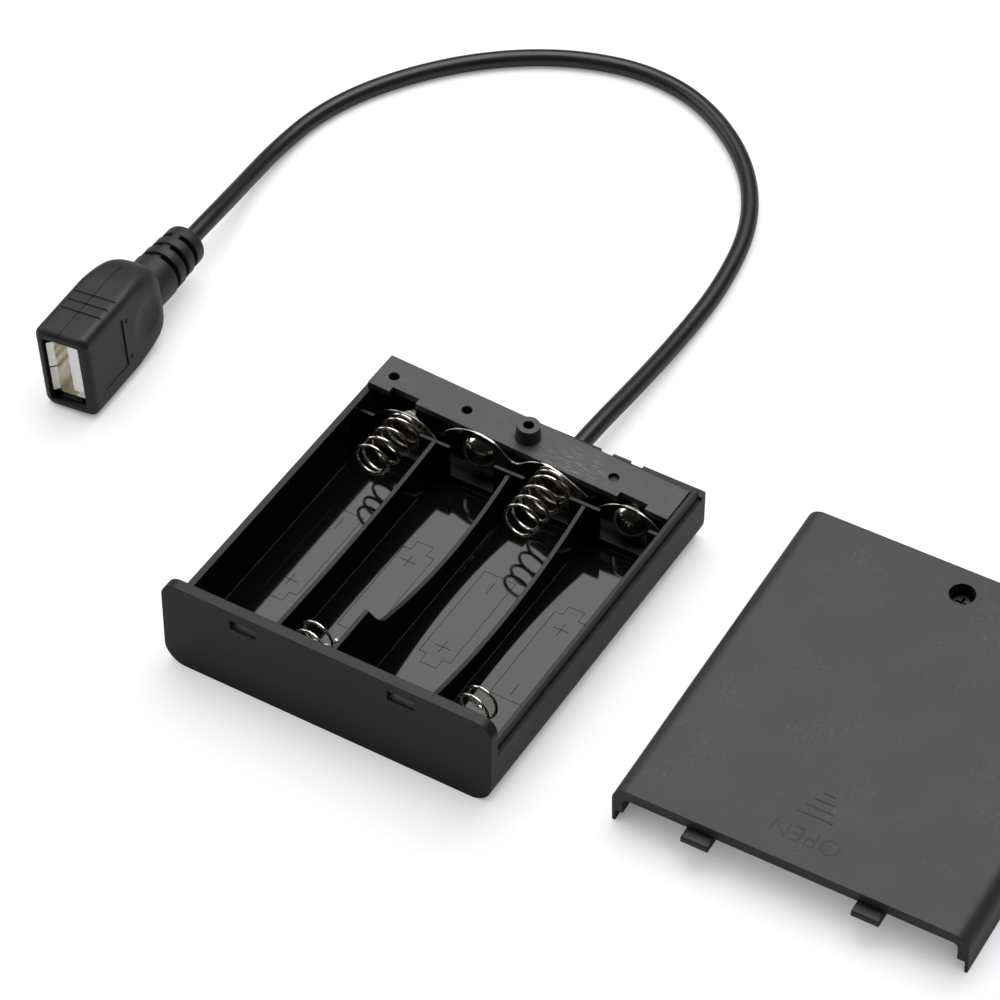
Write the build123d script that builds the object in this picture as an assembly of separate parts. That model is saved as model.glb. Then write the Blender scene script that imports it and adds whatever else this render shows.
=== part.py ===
"""Four-cell battery box with its lid lying beside it and a lead that ends in a USB socket.

Millimetres. The origin is the centre of the tray's underside, +X to the right along the row of
bays, +Y from the tall end plate to the wiring compartment, +Z up.
"""

import os

from build123d import *
from math import atan2, cos, degrees, pi, radians, sin, tan

# Tray
case_width = 65.0
measured_width = 65.0
case_length = 73.2
case_height = 18.8
end_plate = 2.1
end_plate_top_radius = 3.0
case_corner_radius = 4.2
case_rear_corner = 0.4
floor_thickness = 1.6
rear_wall = 1.4
ledge_height = 10.3
ledge_inset = 0.67
left_wall = 1.26
right_wall = 0.78
wall_top = 12.8
wall_end_back = 1.7
rear_wall_top = 10.9

# Cell bays
bay_margin = 2.2
divider_thickness = 0.8
cell_diameter = 14.5
retainer_width = 6.1
retainer_thickness = 0.7
retainer_height = 10.1
rear_retainer_gap = 2.7
front_retainer_gap = 1.2
half_retainer_end = 2.65
stop_rib = 1.0
stop_rib_depth = 0.9
stop_rib_top = 9.2
root = 0.3
divider_front_post_top = 17.1
divider_front_post_length = 11.5

# Contact plates
contact_thickness = 0.35
contact_half_width = 6.8
single_shoulder = 6.9
single_contact_top = 10.9
front_shoulder = 8.6
front_contact_top = 13.1
contact_foot = 3.2
contact_play = 0.1
single_dome_z = 7.2
double_dome_z = 8.9
band_top = 10.4
dome_radius = 3.3
dome_height = 1.8
dome_hollow_radius = 1.7
dome_hollow_depth = 1.1
rear_contact_back = 10.4
front_contact_back = 0.15
bridge_pitch = 15.35
bridge_edge = [
    (-14.475, 10.9),
    (-13.84, 11.5),
    (-12.4, 12.45),
    (-10.6, 13.2),
    (-8.8, 13.48),
    (-7.1, 13.45),
    (-5.6, 13.15),
    (-4.2, 12.6),
    (-3.0, 11.65),
    (-1.7, 10.45),
    (-0.5, 9.9),
    (0.6, 10.3),
    (1.7, 11.15),
    (2.9, 12.0),
    (4.2, 12.5),
    (5.7, 12.8),
    (7.4, 12.6),
    (9.0, 12.1),
    (10.8, 11.2),
    (12.5, 10.35),
    (14.475, 9.1),
]

# Springs
wire_diameter = 0.56
spring_base_radius = 3.6
spring_tip_radius = 3.0
spring_gap = 0.02
spring_steps = 12
spring_closed_turn = 0.9

# Wiring compartment cover
deck_thickness = 1.3
deck_front_back = 9.6
deck_left_place = -31.2
deck_right_place = 30.0
deck_gap = 0.12
deck_rest_gap = 0.05
deck_right_top = 11.1
boss_place = -0.4
boss_back = 5.7
boss_height = 3.0
boss_top_radius = 2.1
boss_base_radius = 2.35
boss_bore = 2.0
peg_hole = 2.0
peg_gap = 0.1
peg_back = 5.9
peg_places = (-28.0, -12.8, 17.2)
post_radius = 1.2
notch_width = 5.5
notch_depth = 1.3
notch_places = (-24.0, 22.7)
deck_rail_width = 1.9
deck_rail_gap = 0.05

# Lid
lid_gap = 0.1
lid_top = 2.2
lid_edge_radius = 3.0
lid_inner_radius = 1.0
lid_rear_corner = 0.6
lid_flange = 2.0
lid_tab_width = 4.9
lid_tab_thickness = 1.5
lid_tab_reach = 2.3
lid_tab_root = 6.0
slot_gap = 0.15
slot_drop = 0.25
tab_places = (-16.05, 15.0)
lid_corner_x = 51.1
lid_corner_y = -28.7
lid_turn = 0.88
lid_boss_radius = 3.4
lid_boss_depth = 4.6
counterbore = 4.7
screw_seat_depth = 3.6
screw_hole = 2.3
screw_head = 4.1
screw_head_height = 1.3
screw_shank = 2.0
screw_length = 8.3
screw_point = 1.4
screw_turn_gap = 0.1

# Switch
switch_place = 15.65
switch_recess = 8.5
switch_recess_depth = 0.6
knob_width = 3.6
knob_travel = 2.0
knob_height = 5.4
knob_gap = 0.1
knob_stem = 1.8
knob_stem_height = 1.6
knob_stem_z = 6.4
switch_body_width = 8.6
switch_body_depth = 2.6
switch_body_height = 4.4
terminal_width = 0.8
terminal_thickness = 0.3
terminal_length = 2.2
terminal_pitch = 2.5

# Lead
cord_diameter = 3.4
cord_hole_gap = 0.15
cord_exit_place = 4.6
cord_exit_z = 5.2
cord_inside = 1.5
lead_diameter = 0.8
negative_bead_place = -22.0
positive_bead_place = 23.4
bead_z = 10.4
bead_radius = 1.4
bead_height = 1.2
bead_tip_radius = 0.8

# Socket on the lead
plug_x = -81.85
plug_y = 4.8
plug_turn = 2.83
plug_lean = 4.28
housing_width = 11.2
housing_height = 18.0
housing_length = 26.8
housing_round_top = 6.2
housing_round_bottom = 7.9
housing_corner = 1.5
housing_front_corner = 1.0
housing_rear_corner = 3.6
foot_bump = 0.22
foot_bump_radius = 1.0
housing_lift = 0.02
grip_groove_starts = (7.0, 9.45, 11.9)
grip_groove_half = 4.5
groove_width = 0.35
groove_depth = 0.22
thumb_dish_y = 19.8
thumb_dish_radius = 4.1
thumb_dish_depth = 0.5
panel_far_y = 11.55
panel_near_y = 4.3
panel_top_z = 5.3
panel_low_z = -5.1
panel_dot_radius = 0.35
panel_dot_gap = 1.5
relief_start = 18.0
relief_end = 42.3
relief_radius = 4.75
relief_end_radius = 4.15
relief_drop = 0.47
relief_tilt = 2.3
relief_slot = 1.25
relief_pitch = 3.37
relief_first_slot = 31.55
relief_core_radius = 3.0
relief_web = 2.1
relief_edge = 0.8
relief_seam_turn = 37.0
mouth_centre_x = -0.15
mouth_width = 7.8
mouth_height = 14.3
mouth_depth = 2.0
shell_length = 15.0
shell_width = 5.7
shell_height = 13.1
shell_sheet = 0.3
shell_set_back = 1.6
lip_reach = 0.7
left_lip_reach = 1.2
lip_splay = 48.0
lip_bend = 0.15
tongue_thickness = 2.0
tongue_height = 10.9
tongue_length = 9.0
tongue_set_back = 0.4
tongue_offset = 1.0
pin_width = 1.0
pin_thickness = 0.2
pin_offsets = (-3.5, -1.0, 1.0, 3.5)

# Derived places
half_width = case_width / 2
rear_y = case_length / 2
front_y = -case_length / 2
bay_front_y = front_y + end_plate
width_ratio = case_width / measured_width
wall_end_y = rear_y - wall_end_back
rear_contact_y = rear_y - rear_contact_back
deck_front_y = rear_y - deck_front_back
deck_left_x = deck_left_place * width_ratio
deck_right_x = deck_right_place * width_ratio
boss_x = boss_place * width_ratio
boss_y = rear_y - boss_back
peg_y = rear_y - peg_back
peg_xs = [x * width_ratio for x in peg_places]
notch_xs = [x * width_ratio for x in notch_places]
tab_xs = [x * width_ratio for x in tab_places]
switch_x = switch_place * width_ratio
cord_exit_x = cord_exit_place * width_ratio
negative_bead_x = negative_bead_place * width_ratio
positive_bead_x = positive_bead_place * width_ratio
left_inner_x = ledge_inset + left_wall - half_width
right_inner_x = half_width - ledge_inset - right_wall
bay_pitch = (2 * (half_width - bay_margin) + divider_thickness) / 4
bay_xs = [bay_pitch * k for k in (-1.5, -0.5, 0.5, 1.5)]
divider_xs = [-bay_pitch, 0.0, bay_pitch]
rear_inner_y = rear_y - rear_wall
cell_z = floor_thickness + cell_diameter / 2
front_contact_y = bay_front_y + front_contact_back
rear_retainer_y = rear_contact_y - rear_retainer_gap
front_retainer_y = front_contact_y + contact_thickness + front_retainer_gap
deck_rear_y = rear_inner_y - deck_gap
deck_rise = wall_top + deck_thickness + deck_rest_gap - deck_right_top
deck_tilt = degrees(atan2(deck_rise, deck_right_x - left_inner_x))
lid_length = case_length - end_plate
lid_height = case_height - ledge_height
cord_radius = cord_diameter / 2
cord_start_y = rear_inner_y - cord_inside
switch_low_z = knob_stem_z - switch_body_height / 2
terminal_y = rear_inner_y - 2 * knob_gap - switch_body_depth / 2
terminal_mid_z = switch_low_z - 0.6 * terminal_length
supply_end_x = switch_x + terminal_pitch + terminal_width / 2
output_start_x = switch_x - terminal_pitch
output_start_y = terminal_y - terminal_thickness / 2
plug_z = (
    (housing_height / 2 - housing_corner) * cos(radians(plug_lean))
    + (housing_width / 2 - housing_corner) * sin(radians(plug_lean))
    + housing_corner
    + housing_lift
)
relief_end_z = -relief_drop - (relief_end - relief_start) * sin(radians(relief_tilt))
relief_end_y = relief_start + (relief_end - relief_start) * cos(radians(relief_tilt))
cord_end_x = plug_x - relief_end_y * sin(radians(plug_turn)) - relief_end_z * sin(radians(plug_lean))
cord_end_y = plug_y + relief_end_y * cos(radians(plug_turn))
cord_end_z = plug_z + relief_end_z * cos(radians(plug_lean))
cord_last_run = 5.5

# The lead's route: out through the rear wall, round a wide loop on the table, up into the socket
cord_route = [
    (cord_exit_x, cord_start_y, cord_exit_z),
    (4.8, 45.6, 5.1),
    (5.1, 60.0, 3.7),
    (4.9, 77.0, 2.0),
    (4.5, 94.0, cord_radius),
    (0.9, 112.6, cord_radius),
    (-8.5, 127.8, cord_radius),
    (-23.2, 138.7, cord_radius),
    (-37.3, 141.8, cord_radius),
    (-50.6, 139.1, cord_radius),
    (-62.6, 132.7, cord_radius),
    (-73.5, 122.8, cord_radius),
    (-82.4, 109.9, cord_radius),
    (-87.2, 97.2, cord_radius),
    (-88.0, 84.0, 2.2),
    (-86.7, 72.4, 4.0),
    (-85.0, 61.9, 6.3),
    (
        cord_end_x - cord_last_run * sin(radians(plug_turn)),
        cord_end_y + cord_last_run * cos(radians(plug_turn)),
        cord_end_z - cord_last_run * sin(radians(relief_tilt)),
    ),
    (cord_end_x, cord_end_y, cord_end_z),
]
lead_offset = 0.7
lead_lead_in = 2.4
negative_route = [
    (negative_bead_x, rear_contact_y + contact_thickness + 1.0, bead_z),
    (negative_bead_x + 1.2, boss_y - 2.0, 8.2),
    (negative_bead_x + 5.4, boss_y - 2.4, 5.2),
    (-8.6, boss_y - 2.3, 3.2),
    (-1.6, boss_y - 2.5, 2.9),
    (2.4, boss_y - 1.9, 3.6),
    (cord_exit_x - lead_offset, cord_start_y - lead_lead_in, cord_exit_z),
    (cord_exit_x - lead_offset, cord_start_y, cord_exit_z),
]
supply_route = [
    (positive_bead_x, rear_contact_y + contact_thickness + 1.0, bead_z - 0.2),
    (positive_bead_x + 0.2, boss_y - 1.0, 7.6),
    (positive_bead_x - 0.7, boss_y + 1.4, 4.6),
    (positive_bead_x - 2.5, terminal_y, terminal_mid_z),
    (supply_end_x, terminal_y, terminal_mid_z),
]
output_route = [
    (output_start_x, output_start_y, terminal_mid_z),
    (output_start_x, boss_y, terminal_mid_z),
    (output_start_x - 1.75, boss_y - 2.3, 3.2),
    (output_start_x - 4.95, boss_y - 2.9, 4.0),
    (cord_exit_x + 1.3, boss_y - 1.5, 4.8),
    (cord_exit_x + lead_offset, cord_start_y - lead_lead_in + 0.2, cord_exit_z),
    (cord_exit_x + lead_offset, cord_start_y, cord_exit_z),
]


def slab(x0, x1, y0, y1, z0, z1):
    """A block between two corners."""
    return Pos((x0 + x1) / 2, (y0 + y1) / 2, (z0 + z1) / 2) * Box(x1 - x0, y1 - y0, z1 - z0)


def upright(radius, height, x, y, z):
    """A round post that stands on the point given."""
    return Pos(x, y, z) * Cylinder(radius, height, align=(Align.CENTER, Align.CENTER, Align.MIN))


def save(node, part):
    """Writes one node as parts/NODE.step."""
    part.label = node
    export_step(part, f"parts/{node}.step")


def deck_place():
    """The cover's place: seated inside the right wall, its left end up on the left wall."""
    return Pos(deck_right_x, 0, deck_right_top) * Rot(0, deck_tilt, 0)


def lid_place():
    """The lid's place on the table: its open front edge down, its rear up on the screw's point."""
    tip = screw_length + screw_seat_depth - lid_height
    rise = degrees(atan2(tip, boss_y - bay_front_y))
    return Pos(lid_corner_x, lid_corner_y, 0) * Rot(0, 0, lid_turn) * Rot(rise, 0, 0)


def divider(x, top_line):
    """One thin wall between two bays; its top edge is scooped so that a cell can be gripped."""
    side = Plane.YZ * make_face(top_line)
    return Pos(x - divider_thickness / 2, 0, 0) * extrude(side, divider_thickness)


def scooped_outline(front_z, low_z, low_y, rear_z):
    """Side outline of a divider: one sagging curve between its end plates, and its foot in the floor."""
    front = Vector(front_retainer_y - retainer_thickness, front_z)
    rear = Vector(rear_retainer_y + retainer_thickness, rear_z)
    return Curve() + [
        ThreePointArc(front, Vector(low_y, low_z), rear),
        Polyline(rear, Vector(rear.X, 0.5), Vector(front.X, 0.5), front),
    ]


def hooked_outline(low_z, low_y, rear_z):
    """Side outline of the middle divider: a tall front post, a steep hook, and a long rise."""
    post_end = bay_front_y + divider_front_post_length
    front = Vector(bay_front_y, divider_front_post_top)
    brow = Vector(post_end, divider_front_post_top)
    knee = Vector(post_end + 4.6, low_z + 3.4)
    rear = Vector(rear_retainer_y + retainer_thickness, rear_z)
    return Curve() + [
        Line(front, brow),
        Spline(brow, Vector(post_end + 2.0, low_z + 6.6), knee, tangents=(Vector(1, -1.6), Vector(1, -0.9))),
        ThreePointArc(knee, Vector(low_y, low_z), rear),
        Polyline(rear, Vector(rear.X, 0.5), Vector(front.X, 0.5), front),
    ]


def tray():
    """The moulded tray: bays, retainers, wiring compartment and the tall slotted end plate."""
    lower = slab(-half_width, half_width, front_y, rear_y, 0, rear_wall_top)
    lower = fillet(lower.edges().filter_by(Axis.Y).group_by(Axis.Z)[0], case_corner_radius)
    lower = fillet(lower.edges().filter_by(Axis.Z).group_by(Axis.Y)[-1], case_rear_corner)
    wall_x = half_width - ledge_inset
    upper = slab(-wall_x, wall_x, front_y, wall_end_y, ledge_height - 1, wall_top)
    for side in (-1, 1):
        near, far = sorted((side * wall_x, side * (half_width + 1)))
        lower -= slab(near, far, front_y - 1, wall_end_y, ledge_height, wall_top)
    body = lower + upper
    body -= slab(left_inner_x, right_inner_x, bay_front_y, rear_inner_y, floor_thickness, case_height)
    plate = Plane.XZ * Pos(0, case_height / 2) * Rectangle(case_width, case_height)
    plate = Pos(0, front_y + end_plate, 0) * extrude(plate, end_plate)
    corners = plate.edges().filter_by(Axis.Y).sort_by(Axis.Z)
    plate = fillet(corners[-2:], end_plate_top_radius)
    bottom = plate.edges().filter_by(Axis.Y).sort_by(Axis.Z)[:2]
    plate = fillet(bottom, case_corner_radius)
    body -= slab(-half_width - 1, half_width + 1, front_y - 1, bay_front_y, -1, wall_top + 1)
    body += plate
    for x in tab_xs:
        slot_half = lid_tab_width / 2 + slot_gap
        slot_top = case_height - lid_top + slot_drop
        slot_low = case_height - lid_top - lid_tab_thickness - slot_drop
        body -= slab(x - slot_half, x + slot_half, front_y - 1, bay_front_y + 1, slot_low, slot_top)
    outlines = (
        scooped_outline(9.6, 8.7, -10.0, retainer_height),
        hooked_outline(7.1, 3.0, retainer_height - 0.3),
        scooped_outline(9.8, 6.0, -1.0, retainer_height),
    )
    for x, outline in zip(divider_xs, outlines):
        body += divider(x, outline)
    body += retainers()
    body += compartment_posts()
    body -= switch_recess_cut()
    hole = cord_diameter / 2 + cord_hole_gap
    body -= Pos(cord_exit_x, rear_y, cord_exit_z) * Rot(90, 0, 0) * Cylinder(hole, 4 * rear_wall)
    return body


def retainers():
    """Cross plates at the ends of the dividers, and the low ribs that the contact plates stand on."""
    made = Part()
    low = floor_thickness - root
    for y in (rear_retainer_y, front_retainer_y - retainer_thickness):
        for x in divider_xs:
            half = retainer_width / 2
            made += slab(x - half, x + half, y, y + retainer_thickness, low, retainer_height)
        left_end = half_retainer_end - 2 * bay_pitch
        right_end = 2 * bay_pitch - half_retainer_end
        made += slab(left_inner_x - root, left_end, y, y + retainer_thickness, low, retainer_height)
        made += slab(right_end, right_inner_x + root, y, y + retainer_thickness, low, retainer_height)
    rib_top = contact_foot - 0.02
    rear_back = rear_contact_y + contact_thickness + contact_play
    left = left_inner_x - root
    right = right_inner_x + root
    made += slab(left, right, rear_retainer_y + root, rear_back, low, rib_top)
    made += slab(left, right, bay_front_y - root, front_retainer_y - root, low, rib_top)
    for x in divider_xs:
        made += slab(x - stop_rib / 2, x + stop_rib / 2, rear_back, rear_back + stop_rib_depth, low, stop_rib_top)
    return made


def compartment_posts():
    """Posts with pegs for the cover's holes, and the rail inside the right wall that carries it."""
    made = Part()
    seat = deck_right_top - deck_thickness
    for x in peg_xs:
        seat_here = seat + (deck_right_x - x) * tan(radians(deck_tilt))
        post_top = min(seat_here, seat + 0.3) - deck_rail_gap
        made += upright(post_radius, post_top - 1.0, x, peg_y, 1.0)
        peg_top = seat + deck_thickness
        made += upright(peg_hole / 2 - peg_gap, peg_top - 1.0, x, peg_y, 1.0)
    rail_top = seat - deck_rail_gap
    rail_x = right_inner_x - deck_rail_width
    made += slab(rail_x, right_inner_x + root, deck_front_y, rear_inner_y + root, floor_thickness - root, rail_top)
    return made


def switch_recess_cut():
    """The open-topped recess outside the rear wall that the knob slides in, and its stem's slot."""
    half = switch_recess / 2
    recess = slab(
        switch_x - half, switch_x + half, rear_y - switch_recess_depth, rear_y + 1,
        rear_wall_top - knob_height - knob_gap, rear_wall_top + 1,
    )
    reach = knob_stem / 2 + knob_travel + knob_gap
    low = knob_stem_z - knob_stem_height / 2 - knob_gap
    high = knob_stem_z + knob_stem_height / 2 + knob_gap
    return recess + slab(switch_x - reach, switch_x + reach, rear_inner_y - 1, rear_y, low, high)


def deck():
    """The wiring compartment's cover, flat in its own place: top face at zero, right end at zero."""
    length = (deck_right_x - deck_left_x) / cos(radians(deck_tilt))
    plate = slab(-length, 0, deck_front_y, deck_rear_y, -deck_thickness, 0)
    scale = 1 / cos(radians(deck_tilt))
    for x in notch_xs:
        at = (x - deck_right_x) * scale
        half = notch_width / 2
        plate -= slab(at - half, at + half, deck_front_y - 1, deck_front_y + notch_depth, -deck_thickness - 1, 1)
    for x in peg_xs:
        at = (x - deck_right_x) * scale
        plate -= upright(peg_hole / 2, deck_thickness + 2, at, peg_y, -deck_thickness - 1)
    at = (boss_x - deck_right_x) * scale
    boss = Pos(at, boss_y, boss_height / 2 - 0.1) * Cone(boss_base_radius, boss_top_radius, boss_height + 0.2)
    plate += boss
    plate -= upright(boss_bore / 2, boss_height + deck_thickness + 2, at, boss_y, -deck_thickness - 1)
    return plate


def lid_solid():
    """The lid in its own place: corner at the origin, lip tips on the ground, front edge open."""
    outer = slab(0, case_width, 0, lid_length, 0, lid_height)
    outer = fillet(outer.edges().filter_by(Axis.Y).group_by(Axis.Z)[-1], lid_edge_radius)
    outer = fillet(outer.edges().filter_by(Axis.Z).group_by(Axis.Y)[-1], lid_rear_corner)
    flange = lid_flange
    ceiling = lid_height - lid_top
    inside = slab(flange, case_width - flange, -1, lid_length - flange, -1, ceiling)
    outer -= fillet(inside.edges().filter_by(Axis.Y).group_by(Axis.Z)[-1], lid_inner_radius)
    lip = ledge_inset - lid_gap
    lap = wall_top - ledge_height + lid_gap
    outer -= slab(lip, case_width - lip, -1, lid_length - flange, -1, lap)
    rear_step = rear_wall_top - ledge_height + lid_gap
    outer -= slab(-1, case_width + 1, lid_length - flange - 0.1, lid_length + 1, -1, rear_step)
    for x in tab_xs:
        at = x + case_width / 2
        half = lid_tab_width / 2
        top = ceiling
        low = top - lid_tab_thickness
        tab = slab(at - half, at + half, -lid_tab_reach, lid_tab_root, low, top + 0.1)
        tab -= slab(at - half - 1, at + half + 1, -lid_tab_reach - 1, 0, top, top + 1)
        nose = tab.edges().filter_by(Axis.X).sort_by(Axis.Y)[:2]
        outer += fillet(nose, 0.5)
    at = boss_x + case_width / 2
    y = boss_y - bay_front_y
    outer += upright(lid_boss_radius, lid_height - lid_boss_depth, at, y, lid_boss_depth - 0.5).cut(
        slab(at - 9, at + 9, y - 9, y + 9, ceiling + 0.5, lid_height + 9)
    )
    seat = lid_height - screw_seat_depth
    outer -= upright(counterbore / 2, screw_seat_depth + 1, at, y, seat)
    outer -= upright(screw_hole / 2, lid_height, at, y, 0)
    return outer


def screw_solid():
    """The self-tapping lid screw, in the lid's own place: head in the counterbore, point below."""
    at = boss_x + case_width / 2
    y = boss_y - bay_front_y
    seat = lid_height - screw_seat_depth + screw_turn_gap / 2
    head = upright(screw_head / 2, screw_head_height, at, y, seat)
    head = chamfer(head.edges().sort_by(Axis.Z)[-1], 0.4)
    recess = slab(at - 1.2, at + 1.2, y - 0.25, y + 0.25, seat + 0.6, seat + 3)
    recess += slab(at - 0.25, at + 0.25, y - 1.2, y + 1.2, seat + 0.6, seat + 3)
    shank = upright(screw_shank / 2, screw_length - screw_point + 0.2, at, y, seat - screw_length + screw_point)
    point = Pos(at, y, seat - screw_length + screw_point / 2) * Cone(0.15, screw_shank / 2, screw_point)
    return head + shank + point - recess


def arched_outline(x, top, shoulder):
    """Face outline of one contact: square foot, straight sides, arched top."""
    left = Vector(x - contact_half_width, contact_foot)
    right = Vector(x + contact_half_width, contact_foot)
    left_high = Vector(left.X, shoulder)
    right_high = Vector(right.X, shoulder)
    return make_face(
        Curve()
        + [
            Polyline(left_high, left, right, right_high),
            ThreePointArc(right_high, Vector(x, top), left_high),
        ]
    )


def single_face(bay):
    """Face outline of the contact of one bay."""
    return arched_outline(bay_xs[bay], single_contact_top, single_shoulder)


def double_face(first, second):
    """Face outline of two arched contacts joined by a straight band."""
    band = Pos((bay_xs[first] + bay_xs[second]) / 2, (contact_foot + band_top) / 2)
    joined = band * Rectangle(bay_xs[second] - bay_xs[first], band_top - contact_foot)
    joined += arched_outline(bay_xs[first], front_contact_top, front_shoulder)
    return joined + arched_outline(bay_xs[second], front_contact_top, front_shoulder)


def bridge_face():
    """Face outline of the rear plate of the two middle bays: two humps and a sagging neck."""
    left = Vector(bay_xs[1] - contact_half_width, contact_foot)
    right = Vector(bay_xs[2] + contact_half_width, contact_foot)
    edge = [Vector(x * bay_pitch / bridge_pitch, z) for x, z in bridge_edge]
    humps = [ThreePointArc(*edge[k : k + 3]) for k in range(0, len(edge) - 1, 2)]
    return make_face(Curve() + [*humps, Polyline(edge[-1], right, left, edge[0])])


def contact(face, facing, y, domes, dome_z):
    """A nickelled contact plate, with a pressed dome at each positive end."""
    plate = Plane.XZ * face
    plate = Pos(0, y, 0) * extrude(plate, -contact_thickness * facing)
    for bay in domes:
        x = bay_xs[bay]
        ball = (dome_radius**2 + dome_height**2) / (2 * dome_height)
        centre = Pos(x, y + facing * (ball - dome_height), dome_z)
        side = 1 if facing > 0 else -1
        near = min(y, y - side * 9)
        far = max(y, y - side * 9)
        window = slab(x - 5, x + 5, near, far, dome_z - 5, dome_z + 5)
        plate += (centre * Sphere(ball)) & window
        hollow = Rot(90, 0, 0) * Cylinder(dome_hollow_radius, 2 * dome_hollow_depth)
        plate -= Pos(x, y, dome_z) * hollow
    return plate


def spring(x, base_y, length, base_z, tip_z, turns, start, last):
    """A cell spring: a closed turn on its contact plate, open turns, and a last turn of its own reach."""
    side = 1 if length > 0 else -1
    seat_gap = wire_diameter / 2 + spring_gap
    seat = base_y + side * seat_gap
    first = wire_diameter + spring_gap
    points = []
    for k in range(round((turns + 1) * spring_steps) + 1):
        turn = k / spring_steps
        share = max(0.0, turn - spring_closed_turn) / (turns + 1 - spring_closed_turn)
        radius = spring_base_radius + share * (spring_tip_radius - spring_base_radius)
        open_share = min(1.0, max(0.0, turn - spring_closed_turn) / (turns - spring_closed_turn))
        reach = first * min(turn, 1.0) + open_share * (abs(length) - seat_gap - first - last)
        reach += last * max(0.0, turn - turns)
        angle = radians(start + 360 * turn)
        centre_z = base_z + share * (tip_z - base_z)
        points.append(Vector(x + radius * cos(angle), seat + side * reach, centre_z + radius * sin(angle)))
    path = Polyline(*points)
    section = Plane(path @ 0, z_dir=path % 0) * RegularPolygon(wire_diameter / 2, 6)
    return sweep(section, path=path, transition=Transition.RIGHT)


def bead(x, back_y, z):
    """A bead of solder, flat against the back of its plate."""
    return Pos(x, back_y + bead_height / 2, z) * Rot(-90, 0, 0) * Cone(bead_radius, bead_tip_radius, bead_height)


def tube(points, diameter, name, sides, share=0.45):
    """A cord's tube: straight runs joined by arcs as large as the two runs beside each allow."""
    at = [Vector(*p) for p in points]
    radii = []
    for before, corner, after in zip(at, at[1:], at[2:]):
        arriving = corner - before
        leaving = after - corner
        turn = radians(arriving.get_angle(leaving))
        radii.append(share * min(arriving.length, leaving.length) / tan(turn / 2))
    path = FilletPolyline(*at, radius=radii)
    section = Plane(path @ 0, z_dir=path % 0) * RegularPolygon(diameter / 2, sides)
    solid = sweep(section, path=path)
    expected = section.area * path.length
    print(name, "radii", [round(r, 1) for r in radii], "length", round(path.length, 1))
    print(name, "volume", round(solid.volume, 1), "section times length", round(expected, 1))
    return solid


def plug_place():
    """The socket's place: on its narrow side, leaning on its foot bump, mouth towards -Y."""
    return Pos(plug_x, plug_y, plug_z) * Rot(0, 0, plug_turn) * Rot(0, -plug_lean, 0)


def along(radius, start, end):
    """A round bar on the socket's axis, which runs along +Y from the mouth."""
    return Pos(0, (start + end) / 2, 0) * Rot(90, 0, 0) * Cylinder(radius, end - start)


def relief():
    """The strain relief: a stem of ever smaller rings between three turned grooves, bridged above and below."""
    ring_step = (relief_radius - relief_end_radius) / 3
    points = [(0, relief_start), (relief_radius, relief_start)]
    for k in range(3):
        start = relief_first_slot + k * relief_pitch
        stop = start + relief_slot
        before = relief_radius - k * ring_step
        points += [(before, start), (relief_core_radius, start)]
        points += [(relief_core_radius, stop), (before - ring_step, stop)]
    edge_start = relief_end - relief_edge
    points += [(relief_end_radius, edge_start), (relief_end_radius - relief_edge, relief_end), (0, relief_end)]
    profile = make_face(Polyline(*[Vector(x, y) for x, y in points], close=True))
    turned = Rot(0, relief_seam_turn, 0) * revolve(profile, Axis.Y)
    half = relief_end_radius - 0.15
    web_end = relief_first_slot + 2 * relief_pitch + relief_slot + 0.5
    whole = turned + slab(-relief_web / 2, relief_web / 2, relief_first_slot - 0.5, web_end, -half, half)
    return Pos(0, relief_start, -relief_drop) * Rot(-relief_tilt, 0, 0) * Pos(0, -relief_start, 0) * whole


def housing_side():
    """The housing's outline seen from its broad side: flat in front, one full curve at the rear."""
    top = housing_height / 2
    front = housing_front_corner
    nose = housing_length
    top_end = nose - housing_round_top
    low_end = nose - housing_round_bottom
    cut = 0.3 * front
    outline = Curve() + [
        Line(Vector(0, front - top), Vector(0, top - front)),
        ThreePointArc(Vector(0, top - front), Vector(cut, top - cut), Vector(front, top)),
        Line(Vector(front, top), Vector(top_end, top)),
        ThreePointArc(Vector(top_end, top), Vector(nose - 0.24 * housing_round_top, 0.62 * top), Vector(nose, 0)),
        ThreePointArc(Vector(nose, 0), Vector(nose - 0.25 * housing_round_bottom, -0.62 * top), Vector(low_end, -top)),
        Line(Vector(low_end, -top), Vector(front, -top)),
        ThreePointArc(Vector(front, -top), Vector(cut, cut - top), Vector(0, front - top)),
    ]
    return Pos(-housing_width / 2, 0, 0) * extrude(Plane.YZ * make_face(outline), housing_width)


def housing_cuts():
    """The grip grooves on top, the thumb dishes, and the thin panel line with its two dots."""
    top = housing_height / 2
    side = housing_width / 2
    cuts = Part()
    for start in grip_groove_starts:
        stop = start + groove_width
        cuts += slab(-grip_groove_half, grip_groove_half, start, stop, top - groove_depth, top + 1)
    for hand in (-1, 1):
        dish = Cone(0.2 * thumb_dish_radius, 1.8 * thumb_dish_radius, 2 * thumb_dish_depth)
        cuts += Pos(hand * side, thumb_dish_y, 0) * Rot(0, 90 * hand, 0) * dish
    floor = side - groove_depth
    far = panel_far_y + groove_width
    cuts += slab(floor, side + 1, panel_far_y, far, panel_low_z, panel_top_z)
    cuts += slab(floor, side + 1, panel_near_y, far, panel_low_z, panel_low_z + groove_width)
    for z in (panel_top_z - 1.1, panel_low_z + 0.9):
        cuts += Pos(side, panel_far_y + panel_dot_gap, z) * Rot(0, 90, 0) * Cylinder(panel_dot_radius, 4 * groove_depth)
    return cuts


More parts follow.
